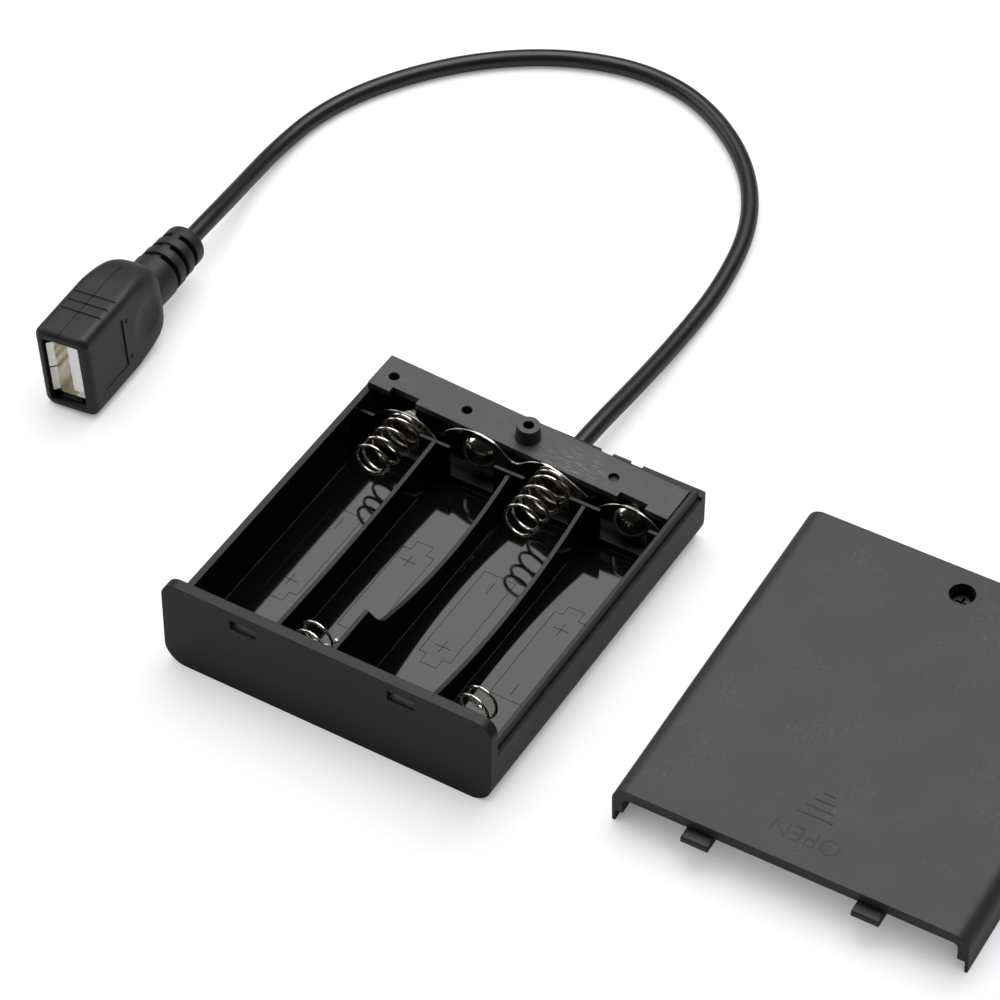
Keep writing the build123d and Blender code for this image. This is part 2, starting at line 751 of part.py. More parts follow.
def housing():
    """The socket's moulded housing with its strain relief, in its own place."""
    rounded = Plane.XZ * RectangleRounded(housing_width, housing_height, housing_corner)
    body = Pos(0, housing_length, 0) * extrude(rounded, housing_length)
    plan = Pos(0, housing_length / 2) * Rectangle(housing_width, housing_length)
    plan = fillet(plan.vertices().group_by(Axis.Y)[0], housing_front_corner)
    plan = fillet(plan.vertices().group_by(Axis.Y)[-1], housing_rear_corner)
    column = Pos(0, 0, -housing_height / 2) * extrude(plan, housing_height)
    body = body & housing_side() & column
    body -= housing_cuts()
    body += relief()
    body += upright(foot_bump_radius, 1.0, 0, 2.0, -housing_height / 2 - foot_bump)
    half = mouth_width / 2
    tall = mouth_height / 2
    body -= slab(mouth_centre_x - half, mouth_centre_x + half, -1, mouth_depth, -tall, tall)
    body -= shell_tube(0.0)
    return body


def shell_tube(shrink):
    """The socket shell's straight tube."""
    width = shell_width - 2 * shrink
    height = shell_height - 2 * shrink
    return Pos(0, shell_set_back + shell_length / 2, 0) * Box(width, shell_length, height)


def lip(low, high, turn, distance, reach):
    """One splayed lip of the shell, made on top of the tube and turned to its side."""
    flat = slab(low, high, -reach, lip_bend, -shell_sheet, 0)
    splayed = Pos(0, shell_set_back, distance) * Rot(-lip_splay, 0, 0) * flat
    return Rot(0, turn, 0) * splayed


def shell():
    """The socket's folded sheet shell, closed behind the tongue, with splayed lips at its mouth."""
    hollow = shell_tube(shell_sheet)
    end = shell_set_back + shell_length
    back = slab(-9, 9, end - shell_sheet, end + 1, -9, 9)
    made = shell_tube(0.0) - (hollow - back)
    top = shell_height / 2
    side = shell_width / 2
    for low, high in ((-2.3, -0.9), (-0.3, 0.5), (0.9, 2.3)):
        made += lip(low, high, 0, top, lip_reach)
    made += lip(-2.0, 2.0, 180, top, lip_reach)
    made += lip(-5.7, 5.4, 90, side, lip_reach)
    for low, high in ((-5.4, -0.15), (0.15, 5.7)):
        made += lip(low, high, -90, side, left_lip_reach)
    return made


def tongue():
    """The plastic tongue that carries the four pins, on its block at the back of the shell."""
    start = shell_set_back + tongue_set_back
    low = tongue_offset - tongue_thickness / 2
    high = tongue_offset + tongue_thickness / 2
    half = tongue_height / 2
    root = start + tongue_length
    blade = slab(low, high, start, root + 0.5, -half, half)
    inside_x = shell_width / 2 - shell_sheet
    inside_z = shell_height / 2 - shell_sheet
    end = shell_set_back + shell_length - shell_sheet
    return blade + slab(-inside_x, inside_x, root, end, -inside_z, inside_z)


def pins():
    """Four contact strips on the tongue's wide side."""
    face = tongue_offset - tongue_thickness / 2
    start = shell_set_back + tongue_set_back
    made = Part()
    for at in pin_offsets:
        low = at - pin_width / 2
        made += slab(face - pin_thickness, face, start + 1.0, start + tongue_length, low, low + pin_width)
    return made


def knob():
    """The switch's knob: a grip outside the rear wall and a stem through its slot."""
    half = knob_width / 2
    inner_face = rear_y - switch_recess_depth + knob_gap
    grip = slab(switch_x - half, switch_x + half, inner_face, rear_y, rear_wall_top - knob_height, rear_wall_top)
    stem_half = knob_stem / 2
    low = knob_stem_z - knob_stem_height / 2
    high = knob_stem_z + knob_stem_height / 2
    stem_end = rear_inner_y - knob_gap
    return grip + slab(switch_x - stem_half, switch_x + stem_half, stem_end, inner_face + 0.1, low, high)


def switch_body():
    """The slide switch behind the wall."""
    half = switch_body_width / 2
    rear = rear_inner_y - 2 * knob_gap
    low = knob_stem_z - switch_body_height / 2
    body = slab(switch_x - half, switch_x + half, rear - switch_body_depth, rear, low, low + switch_body_height)
    return fillet(body.edges().filter_by(Axis.X), 0.3)


def switch_terminals():
    """Three solder tags below the switch."""
    made = Part()
    for k in (-1, 0, 1):
        x = switch_x + k * terminal_pitch
        half = terminal_width / 2
        face = terminal_y - terminal_thickness / 2
        low = switch_low_z - terminal_length
        made += slab(x - half, x + half, face, face + terminal_thickness, low, switch_low_z)
    return made


os.makedirs("parts", exist_ok=True)

save("tray", tray())
save("compartment_deck", deck_place() * deck())
save("lid", lid_place() * lid_solid())
save("lid_screw", lid_place() * screw_solid())

rear_face = rear_contact_y
front_face = front_contact_y + contact_thickness
save("rear_contact_negative", contact(single_face(0), 1, rear_face, [], single_dome_z))
save("rear_contact_bridge", contact(bridge_face(), 1, rear_face, [1], double_dome_z))
save("rear_contact_positive", contact(single_face(3), 1, rear_face, [3], single_dome_z))
save("front_contact_left", contact(double_face(0, 1), -1, front_face, [0], double_dome_z))
save("front_contact_right", contact(double_face(2, 3), -1, front_face, [2], double_dome_z))

save("cell_spring_1", spring(bay_xs[0], rear_face, -11.9, single_dome_z, 9.5, 4.0, 40, 0.9))
save("cell_spring_2", spring(bay_xs[1], front_face, 8.7, cell_z, 10.2, 3.4, 200, 2.0))
save("cell_spring_3", spring(bay_xs[2], rear_face, -12.5, cell_z, 10.3, 3.9, 0, 2.2))
save("cell_spring_4", spring(bay_xs[3], front_face, 11.2, cell_z, 8.2, 3.4, 120, 2.0))

rear_back = rear_face + contact_thickness
save("solder_negative", bead(negative_bead_x, rear_back, bead_z))
save("solder_positive", bead(positive_bead_x, rear_back, bead_z))

save("cord", tube(cord_route, cord_diameter, "cord", 8))
save("lead_negative", tube(negative_route, lead_diameter, "lead_negative", 6))
save("lead_supply", tube(supply_route, lead_diameter, "lead_supply", 6))
save("lead_output", tube(output_route, lead_diameter, "lead_output", 6))

save("switch_body", switch_body())
save("switch_terminals", switch_terminals())
save("switch_knob", knob())

save("socket_housing", plug_place() * housing())
save("socket_shell", plug_place() * shell())
save("socket_tongue", plug_place() * tongue())
save("socket_pins", plug_place() * pins())
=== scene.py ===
"""Looks of a battery box for four cells, its lid beside it and a lead that ends in a USB socket.

Lengths are in metres, except where a class says that it holds millimetres, and angles in degrees.
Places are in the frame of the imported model: the origin is the centre of the tray's underside, +X
runs along the row of bays, +Y to the wiring compartment and +Z up.
"""

import logging
import math
from dataclasses import dataclass
from enum import Enum

import bmesh
import bpy
from mathutils import Matrix, Vector

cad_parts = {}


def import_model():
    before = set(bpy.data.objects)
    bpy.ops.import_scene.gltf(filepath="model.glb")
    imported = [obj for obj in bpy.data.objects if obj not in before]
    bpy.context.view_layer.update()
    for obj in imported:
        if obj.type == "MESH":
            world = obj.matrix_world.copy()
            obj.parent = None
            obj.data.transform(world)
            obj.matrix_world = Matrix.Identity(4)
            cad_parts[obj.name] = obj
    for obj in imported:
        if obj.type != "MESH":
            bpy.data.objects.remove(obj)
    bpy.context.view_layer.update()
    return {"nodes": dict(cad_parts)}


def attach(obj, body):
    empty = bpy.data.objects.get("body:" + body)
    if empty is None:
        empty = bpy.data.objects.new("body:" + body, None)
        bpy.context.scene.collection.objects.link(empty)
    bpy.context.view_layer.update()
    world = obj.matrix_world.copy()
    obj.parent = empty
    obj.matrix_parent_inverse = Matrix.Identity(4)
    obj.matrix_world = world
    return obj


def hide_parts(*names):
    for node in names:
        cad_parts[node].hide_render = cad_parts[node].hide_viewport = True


LOG = logging.getLogger("battery_box")
MM = 0.001
BOX = "box"
BAY_MIDDLES = (-0.023025, -0.007675, 0.007675, 0.023025)

Colour = tuple[float, float, float]
Point = tuple[float, float, float]


class Course(Enum):
    """How a wire runs through its points; each value is Blender's name of the curve."""

    SMOOTH = "NURBS"
    STRAIGHT = "POLY"


def rgba(colour: Colour) -> tuple[float, float, float, float]:
    """A colour with full opacity, as shader sockets take it."""
    return (*colour, 1.0)


class Tree:
    """Adds and joins the nodes of one shader tree.

    Args:
        tree: the node tree of a material or of a shader group.
    """

    def __init__(self, tree: bpy.types.NodeTree) -> None:
        self.nodes = tree.nodes
        self.links = tree.links

    def add(self, kind: str, **values: object) -> bpy.types.Node:
        """Adds a node.

        Args:
            kind: the node's type, without its leading "ShaderNode".
            values: attributes of the node; an input socket's value or source is given with "in_"
                before its name, with underscores for spaces.

        Returns:
            The new node.
        """
        node = self.nodes.new("ShaderNode" + kind)
        for name, value in values.items():
            if not name.startswith("in_"):
                setattr(node, name, value)
        for name, value in values.items():
            if name.startswith("in_"):
                key = name[3:]
                socket = node.inputs[int(key)] if key.isdigit() else node.inputs[key.replace("_", " ")]
                self.feed(socket, value)
        return node

    def feed(self, socket: bpy.types.NodeSocket, value: object) -> None:
        """Sets a socket to a value, or links it to another socket."""
        if isinstance(value, bpy.types.NodeSocket):
            self.links.new(value, socket)
        else:
            socket.default_value = value

    def math(
        self, operation: str, first: object, second: object = 0.0, clamp: bool = False
    ) -> bpy.types.NodeSocket:
        """One arithmetic step on two numbers or sockets.

        Args:
            operation: Blender's name of the operation.
            first: a number or a socket.
            second: a number or a socket.
            clamp: whether the result is kept from 0 to 1.

        Returns:
            The result's socket.
        """
        return self.add("Math", operation=operation, use_clamp=clamp, in_0=first, in_1=second).outputs[0]

    def blend(self, share: object, first: object, second: object) -> bpy.types.NodeSocket:
        """Mixes two colours or colour sockets by a share from 0 to 1.

        Args:
            share: how much of the second colour shows.
            first: a colour or a socket.
            second: a colour or a socket.

        Returns:
            The mixed colour's socket.
        """
        node = self.nodes.new("ShaderNodeMix")
        node.data_type = "RGBA"
        self.feed(node.inputs[0], share)
        self.feed(node.inputs[6], first if isinstance(first, bpy.types.NodeSocket) else rgba(first))
        self.feed(node.inputs[7], second if isinstance(second, bpy.types.NodeSocket) else rgba(second))
        return node.outputs[2]

    def spread(
        self, value: object, low: float, high: float, to_low: float = 0.0, to_high: float = 1.0
    ) -> bpy.types.NodeSocket:
        """Maps a value's range onto another one.

        Args:
            value: a number's socket.
            low: the value that gives to_low.
            high: the value that gives to_high.
            to_low: the result at low.
            to_high: the result at high.

        Returns:
            The result's socket.
        """
        node = self.add("MapRange", in_0=value, in_1=low, in_2=high, in_3=to_low, in_4=to_high)
        return node.outputs[0]

    def stretched(self, place: bpy.types.NodeSocket, turn: float, stretch: float) -> bpy.types.NodeSocket:
        """Places turned about Z and squeezed across, so that noise on them draws lines.

        Args:
            place: the socket that gives the place.
            turn: the lines' direction in degrees.
            stretch: how much longer the lines are than wide.

        Returns:
            The new place's socket.
        """
        node = self.add("Mapping", in_Vector=place)
        node.inputs["Rotation"].default_value = (0.0, 0.0, math.radians(turn))
        node.inputs["Scale"].default_value = (1.0, stretch, stretch)
        return node.outputs[0]


class EffectTree(Tree):
    """The tree of one shared shader group, with its two ends and the place on the piece.

    Args:
        name: the group's name.
        inputs: each input's name and usual value.
        outputs: the outputs' names.
    """

    def __init__(self, name: str, inputs: dict[str, float], outputs: tuple[str, ...] = ("Mask",)) -> None:
        self.group = bpy.data.node_groups.new(name, "ShaderNodeTree")
        for key, value in inputs.items():
            socket = self.group.interface.new_socket(key, in_out="INPUT", socket_type="NodeSocketFloat")
            socket.default_value = value
        for key in outputs:
            self.group.interface.new_socket(key, in_out="OUTPUT", socket_type="NodeSocketFloat")
        super().__init__(self.group)
        self.given = self.nodes.new("NodeGroupInput").outputs
        self.put = self.nodes.new("NodeGroupOutput").inputs
        self.place = self.add("TexCoord").outputs["Object"]

    def noise(self, scale: object, detail: float, **values: object) -> bpy.types.NodeSocket:
        """Noise over the piece.

        Args:
            scale: a number or a socket; larger is finer.
            detail: how many finer layers are added.
            values: other inputs of the noise node, as Tree.add takes them.

        Returns:
            The noise's socket.
        """
        settings = {"in_Vector": self.place, **values}
        return self.add("TexNoise", in_Scale=scale, in_Detail=detail, **settings).outputs[0]

    def finish(self, marks: bpy.types.NodeSocket, gate: bpy.types.NodeSocket) -> bpy.types.NodeTree:
        """Puts out the marks where the gate lets them through, by the given amount.

        Args:
            marks: a mask of the marks.
            gate: a mask of the patches in which they show.

        Returns:
            The finished group.
        """
        shown = self.math("MULTIPLY", self.math("MULTIPLY", marks, gate), self.given["Amount"], clamp=True)
        self.feed(self.put["Mask"], shown)
        return self.group


class Effects:
    """Shader groups that several finishes share, each built once."""

    def __init__(self) -> None:
        self.made: dict[str, bpy.types.NodeTree] = {}

    def use(self, tree: Tree, name: str, **values: object) -> bpy.types.Node:
        """Places one of the groups in a material.

        Args:
            tree: the material's tree.
            name: "moulded grain", "fine scratches", "dust" or "smudges".
            values: the group's inputs, with underscores for spaces.

        Returns:
            The group's node.
        """
        builders = {
            "moulded grain": self.moulded_grain,
            "fine scratches": self.fine_scratches,
            "dust": self.dust,
            "smudges": self.smudges,
        }
        if name not in self.made:
            self.made[name] = builders[name]()
        node = tree.nodes.new("ShaderNodeGroup")
        node.node_tree = self.made[name]
        for key, value in values.items():
            tree.feed(node.inputs[key.replace("_", " ")], value)
        return node

    @staticmethod
    def moulded_grain() -> bpy.types.NodeTree:
        """The spark-eroded grain of a mould: fine pits and a slow mottle."""
        tree = EffectTree("moulded grain", {"Scale": 9000.0, "Mottle Scale": 90.0}, ("Height", "Mottle"))
        tree.feed(tree.put["Height"], tree.noise(tree.given["Scale"], detail=2.0))
        tree.feed(tree.put["Mottle"], tree.noise(tree.given["Mottle Scale"], detail=4.0))
        return tree.group

    @staticmethod
    def fine_scratches() -> bpy.types.NodeTree:
        """Short hairline scratches in two directions, gathered in patches."""
        tree = EffectTree("fine scratches", {"Amount": 0.5, "Scale": 300.0})
        masks = []
        for turn, stretch in ((35.0, 14.0), (-58.0, 18.0)):
            along = tree.stretched(tree.place, turn, stretch)
            lines = tree.noise(tree.given["Scale"], detail=3.0, in_Vector=along)
            masks.append(tree.spread(lines, 0.66, 0.74))
        patches = tree.spread(tree.noise(120.0, detail=1.0), 0.45, 0.62)
        return tree.finish(tree.math("MAXIMUM", *masks), patches)

    @staticmethod
    def dust() -> bpy.types.NodeTree:
        """Sparse pale specks of dust."""
        tree = EffectTree("dust", {"Amount": 0.5, "Scale": 700.0})
        cells = tree.add("TexVoronoi", in_Vector=tree.place, in_Scale=tree.given["Scale"])
        specks = tree.spread(cells.outputs["Distance"], 0.05, 0.14, 1.0, 0.0)
        return tree.finish(specks, tree.spread(tree.noise(260.0, detail=0.0), 0.6, 0.68))

    @staticmethod
    def smudges() -> bpy.types.NodeTree:
        """Faint pale wipe marks, gathered in clouds."""
        tree = EffectTree("smudges", {"Amount": 0.5, "Scale": 110.0})
        wipes = tree.spread(tree.noise(1100.0, detail=6.0, in_Distortion=1.5), 0.5, 0.72)
        return tree.finish(wipes, tree.spread(tree.noise(tree.given["Scale"], detail=3.0), 0.48, 0.68))


@dataclass(frozen=True)
class MouldedPlastic:
    """Moulded plastic with a spark-eroded grain.

    The polished area, where it has one, is the box between two corners in the model's frame. Faces in
    it that look up from above polished_floor, such as the dividers' tops, keep the grain.
    """

    name: str
    colour: Colour
    roughness: float
    grain: float = 0.35
    grain_scale: float = 9000.0
    scratches: float = 0.0
    dust: float = 0.0
    smudges: float = 0.0
    # Emission strength in the plastic's own colour: painted light, since no part here is a lamp.
    painted_glow: float = 0.0
    scuff: Point | None = None
    scuff_reach: float = 0.008
    scuff_turn: float = -28.0
    scratch_colour: Colour = (0.24, 0.24, 0.25)
    smudge_colour: Colour = (0.16, 0.16, 0.165)
    scuff_colour: Colour = (0.3, 0.3, 0.3)
    dust_colour: Colour = (0.45, 0.45, 0.44)
    mottle: float = 0.12
    mottle_roughness: float = 0.03
    pit_depth: float = 0.00002
    edge: float = 0.0002
    specular: float = 0.5
    polished: tuple[Point, Point] | None = None
    polished_colour: Colour = (0.004, 0.004, 0.0045)
    polished_roughness: float = 0.07
    polished_floor: float = 0.003
    upward: float = 0.8

    def inside(self, tree: Tree) -> bpy.types.NodeSocket:
        """A mask that is 1 in the polished area.

        Args:
            tree: the material's tree.

        Returns:
            The mask's socket.
        """
        place = tree.add("TexCoord").outputs["Object"]
        parts = tree.add("SeparateXYZ", in_0=place).outputs
        mask: object = 1.0
        for socket, low, high in zip(parts, *self.polished):
            above = tree.math("GREATER_THAN", socket, low)
            below = tree.math("LESS_THAN", socket, high)
            mask = tree.math("MULTIPLY", tree.math("MULTIPLY", above, below), mask)
        facing = tree.add("SeparateXYZ", in_0=tree.add("NewGeometry").outputs["Normal"]).outputs[2]
        upward = tree.math("GREATER_THAN", facing, self.upward)
        raised = tree.math("GREATER_THAN", parts[2], self.polished_floor)
        kept = tree.math("SUBTRACT", 1.0, tree.math("MULTIPLY", upward, raised))
        return tree.math("MULTIPLY", mask, kept)

    def scuffed(self, tree: Tree) -> bpy.types.NodeSocket:
        """A mask of hairlines in a patch around the scuffed place.

        Args:
            tree: the material's tree.

        Returns:
            The mask's socket.
        """
        place = tree.add("TexCoord").outputs["Object"]
        away = tree.add("VectorMath", operation="DISTANCE", in_0=place, in_1=self.scuff).outputs["Value"]
        patch = tree.spread(away, self.scuff_reach * 0.35, self.scuff_reach, 0.75, 0.0)
        along = tree.stretched(place, self.scuff_turn, 9.0)
        lines = tree.add("TexNoise", in_Vector=along, in_Scale=420.0, in_Detail=5.0)
        hairs = tree.spread(lines.outputs[0], 0.52, 0.7)
        return tree.math("MULTIPLY", hairs, patch, clamp=True)

    def build(self, effects: Effects) -> bpy.types.Material:
        """Makes the material.

        Args:
            effects: the shared shader groups.

        Returns:
            The new material.
        """
        material = new_material(self.name)
        tree = Tree(material.node_tree)
        shader = tree.nodes["Principled BSDF"]
        shader.inputs["Specular IOR Level"].default_value = self.specular
        # Emission in the plastic's own colour, set only for the white tongue: painted light, as the tongue is
        # no lamp.
        shader.inputs["Emission Color"].default_value = rgba(self.colour)
        shader.inputs["Emission Strength"].default_value = self.painted_glow
        grain = effects.use(tree, "moulded grain", Scale=self.grain_scale)
        mottle = grain.outputs["Mottle"]
        dark = tuple(channel * (1 - self.mottle) for channel in self.colour)
        pale = tuple(channel * (1 + self.mottle) for channel in self.colour)
        colour = tree.blend(tree.spread(mottle, 0.3, 0.7), dark, pale)
        swing = self.mottle_roughness
        roughness = tree.spread(mottle, 0.3, 0.7, self.roughness - swing, self.roughness + swing)
        strength: object = self.grain
        if self.scratches:
            marks = effects.use(tree, "fine scratches", Amount=self.scratches).outputs["Mask"]
            colour = tree.blend(marks, colour, self.scratch_colour)
        if self.smudges:
            marks = effects.use(tree, "smudges", Amount=self.smudges).outputs["Mask"]
            colour = tree.blend(marks, colour, self.smudge_colour)
        if self.scuff:
            colour = tree.blend(self.scuffed(tree), colour, self.scuff_colour)
        if self.dust:
            marks = effects.use(tree, "dust", Amount=self.dust).outputs["Mask"]
            colour = tree.blend(marks, colour, self.dust_colour)
        if self.polished:
            mask = self.inside(tree)
            colour = tree.blend(mask, colour, self.polished_colour)
            roughness = tree.add("Mix", in_0=mask, in_2=roughness, in_3=self.polished_roughness).outputs[0]
            strength = tree.math("MULTIPLY", tree.math("SUBTRACT", 1.0, mask), self.grain)
        tree.feed(shader.inputs["Base Color"], colour)
        tree.feed(shader.inputs["Roughness"], roughness)
        rounded = tree.add("Bevel", samples=4, in_Radius=self.edge)
        pits = grain.outputs["Height"]
        bump = tree.add("Bump", in_Height=pits, in_Distance=self.pit_depth, in_Normal=rounded.outputs[0])
        tree.feed(bump.inputs["Strength"], strength)
        tree.feed(shader.inputs["Normal"], bump.outputs[0])
        return material


@dataclass(frozen=True)
class BrightMetal:
    """Plated or bare metal that mirrors the room, with a slight unevenness."""

    name: str
    colour: Colour
    tarnish: Colour
    roughness: float
    unevenness: float = 0.1
    scale: float = 350.0
    metallic: float = 1.0
    ripple: float = 0.0001

    def build(self, effects: Effects) -> bpy.types.Material:
        """Makes the material.

        Args:
            effects: the shared shader groups.

        Returns:
            The new material.
        """
        material = new_material(self.name)
        tree = Tree(material.node_tree)
        shader = tree.nodes["Principled BSDF"]
        shader.inputs["Metallic"].default_value = self.metallic
        grain = effects.use(tree, "moulded grain", Scale=self.scale * 8, Mottle_Scale=self.scale)
        mottle = grain.outputs["Mottle"]
        share = tree.spread(mottle, 0.35, 0.7)
        tree.feed(shader.inputs["Base Color"], tree.blend(share, self.colour, self.tarnish))
        roughness = tree.spread(mottle, 0.3, 0.7, self.roughness * 0.7, self.roughness * 1.3)
        tree.feed(shader.inputs["Roughness"], roughness)
        bump = tree.add("Bump", in_Height=mottle, in_Distance=self.ripple, in_Strength=self.unevenness)
        tree.feed(shader.inputs["Normal"], bump.outputs[0])
        return material


def new_material(name: str) -> bpy.types.Material:
    """A new material with nodes, named in plain words."""
    material = bpy.data.materials.new(name)
    material.use_nodes = True
    return material


SCUFFED_PLACE = (0.0105, 0.0275, 0.012)
POLISHED_BAYS = ((-0.03058, -0.0346, 0.0015), (0.03106, 0.0262, 0.0172))

FINISHES = (
    MouldedPlastic("case plastic", (0.019, 0.0195, 0.0215), 0.5, specular=0.36, polished=POLISHED_BAYS),
    MouldedPlastic("engraved line", (0.003, 0.003, 0.003), 0.4, grain=0.0, specular=0.2),
    MouldedPlastic(
        "cover plastic",
        (0.052, 0.053, 0.057),
        0.46,
        scratches=0.3,
        dust=0.3,
        smudges=0.3,
        scuff=SCUFFED_PLACE,
    ),
    MouldedPlastic(
        "lid plastic",
        (0.038, 0.0385, 0.041),
        0.5,
        scratches=0.1,
        dust=0.15,
        smudges=0.3,
        specular=0.4,
    ),
    # A darker copy of the lid plastic for the word and the arrow's grooves: painted shade in their recesses.
    MouldedPlastic("lid groove painted shade", (0.03, 0.03, 0.032), 0.5, edge=0.0001, specular=0.4),
    MouldedPlastic("switch plastic", (0.02, 0.02, 0.021), 0.35, grain=0.15, edge=0.00012),
    MouldedPlastic("socket plastic", (0.024, 0.0245, 0.026), 0.46, grain=0.3, edge=0.0003, specular=0.42),
    # Near-black lines on the socket's housing: painted shade in its seam, panel step and pits.
    MouldedPlastic("socket groove painted shade", (0.003, 0.003, 0.0035), 0.5, grain=0.0, edge=0.0001, specular=0.1),
    MouldedPlastic("cord jacket", (0.018, 0.018, 0.019), 0.36, grain=0.12, edge=0.0001),
    MouldedPlastic("red lead jacket", (0.32, 0.05, 0.015), 0.35, grain=0.1, edge=0.0001),
    MouldedPlastic("black lead jacket", (0.015, 0.015, 0.016), 0.35, grain=0.1, edge=0.0001),
    # The tongue glows a little though it is no lamp: painted light on its face.
    MouldedPlastic("white tongue plastic", (0.85, 0.85, 0.83), 0.35, grain=0.1, edge=0.0001, painted_glow=0.42),
    MouldedPlastic("blackened screw", (0.012, 0.012, 0.013), 0.3, grain=0.1, edge=0.0001),
    BrightMetal("contact nickel", (0.82, 0.79, 0.72), (0.62, 0.57, 0.49), 0.16, unevenness=0.08),
    BrightMetal("plate rim", (0.86, 0.83, 0.76), (0.7, 0.66, 0.58), 0.3, unevenness=0.05),
    BrightMetal("spring wire", (0.92, 0.88, 0.81), (0.74, 0.69, 0.6), 0.24, unevenness=0.05),
    BrightMetal("solder", (0.72, 0.72, 0.7), (0.5, 0.49, 0.45), 0.22, unevenness=0.5, scale=600.0),
    BrightMetal("socket steel", (0.8, 0.79, 0.74), (0.6, 0.58, 0.52), 0.2, unevenness=0.15),
    BrightMetal("tinned tag", (0.7, 0.66, 0.56), (0.5, 0.45, 0.34), 0.25),
    BrightMetal("pin gold", (0.8, 0.6, 0.3), (0.6, 0.42, 0.2), 0.2),
)

NODE_FINISHES = {
    "tray": "case plastic",
    "compartment_deck": "cover plastic",
    "lid": "lid plastic",
    "lid_screw": "blackened screw",
    "rear_contact_negative": "contact nickel",
    "rear_contact_bridge": "contact nickel",
    "rear_contact_positive": "contact nickel",
    "front_contact_left": "contact nickel",
    "front_contact_right": "contact nickel",
    "cell_spring_1": "spring wire",
    "cell_spring_2": "spring wire",
    "cell_spring_3": "spring wire",
    "cell_spring_4": "spring wire",
    "solder_negative": "solder",
    "solder_positive": "solder",
    "cord": "cord jacket",
    "lead_negative": "black lead jacket",
    "lead_supply": "red lead jacket",
    "lead_output": "red lead jacket",
    "switch_body": "switch plastic",
    "switch_terminals": "tinned tag",
    "switch_knob": "switch plastic",
    "socket_housing": "socket plastic",
    "socket_shell": "socket steel",
    "socket_tongue": "white tongue plastic",
    "socket_pins": "pin gold",
}


class Wardrobe:
    """Holds the finished materials and dresses pieces and CAD nodes with them."""

    def __init__(self) -> None:
        effects = Effects()
        self.materials = {finish.name: finish.build(effects) for finish in FINISHES}

    def dress(self, piece: bpy.types.Object, finish: str) -> None:
        """Gives every slot of a piece one finish."""
        if not piece.material_slots:
            piece.data.materials.append(self.materials[finish])
        for slot in piece.material_slots:
            slot.material = self.materials[finish]

    def dress_frame(self, nodes: dict[str, bpy.types.Object]) -> None:
        """Gives each CAD node its own finish."""
        for name, node in nodes.items():
            self.dress(node, NODE_FINISHES[name])
            LOG.info("node %s: %s", name, NODE_FINISHES[name])


def place_in_scene(piece: bpy.types.Object) -> bpy.types.Object:
    """Links a new piece into the scene."""
    bpy.context.scene.collection.objects.link(piece)
    return piece


def wire_piece(
    name: str, points: list[Point], radius: float, course: Course = Course.SMOOTH
) -> bpy.types.Object:
    """A round wire along a line.

    Args:
        name: the piece's name.
        points: the control points of the line.
        radius: the wire's radius.
        course: whether the line is a smooth spline or straight runs.

    Returns:
        The new curve piece.
    """
    curve = bpy.data.curves.new(name, "CURVE")
    curve.dimensions = "3D"
    curve.bevel_depth = radius
    curve.bevel_resolution = 5
    curve.use_fill_caps = True
    curve.resolution_u = 10 if course is Course.SMOOTH else 1
    spline = curve.splines.new(course.value)
    spline.points.add(len(points) - 1)
    for control, point in zip(spline.points, points):
        control.co = (*point, 1.0)
    if course is Course.SMOOTH:
        spline.order_u = 3
        spline.use_endpoint_u = True
    return place_in_scene(bpy.data.objects.new(name, curve))


@dataclass
class SocketLead:
    """The round cord from the rear wall to the USB socket, seen from end to end.

    The route's points are in millimetres.
    """

    diameter: float = 0.0034
    length: float = 0.2509
    exit: Point = (0.0046, 0.0366, 0.0052)
    route: tuple[Point, ...] = (
        (4.6, 33.7, 5.2),
        (4.8, 45.6, 5.1),
        (5.1, 60.0, 3.7),
        (4.9, 77.0, 2.0),
        (4.5, 94.0, 1.7),
        (0.9, 112.6, 1.7),
        (-8.5, 127.8, 1.7),
        (-23.2, 138.7, 1.7),
        (-37.3, 141.8, 1.7),
        (-50.6, 139.1, 1.7),
        (-62.6, 132.7, 1.7),
        (-73.5, 122.8, 1.7),
        (-82.4, 109.9, 1.7),
        (-87.2, 97.2, 1.7),
        (-88.0, 84.0, 2.2),
        (-86.7, 72.4, 4.0),
        (-85.0, 61.9, 6.3),
        (-84.10, 52.52, 7.64),
        (-83.83, 47.03, 7.86),
    )

    def build(self, wardrobe: Wardrobe) -> None:
        points = [(x * MM, y * MM, z * MM) for x, y, z in self.route]
        cord = wire_piece("lead_cord", points, self.diameter / 2)
        wardrobe.dress(cord, "cord jacket")
        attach(cord, BOX)
        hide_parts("cord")
        LOG.info("piece %s: %d route points", cord.name, len(points))


@dataclass(frozen=True)
class CellSpring:
    """One cell spring: where it stands, how far it reaches, and how it is wound.

    A positive length reaches from the tall end into the bay, a negative one from the compartment end.
    """

    number: int
    base_y: float
    length: float
    base_z: float
    tip_z: float
    turns: float
    start: float
    last: float

    @property
    def node(self) -> str:
        """The CAD node that this spring stands for."""
        return f"cell_spring_{self.number}"

    @property
    def x(self) -> float:
        """The middle of the bay that the spring stands in."""
        return BAY_MIDDLES[self.number - 1]


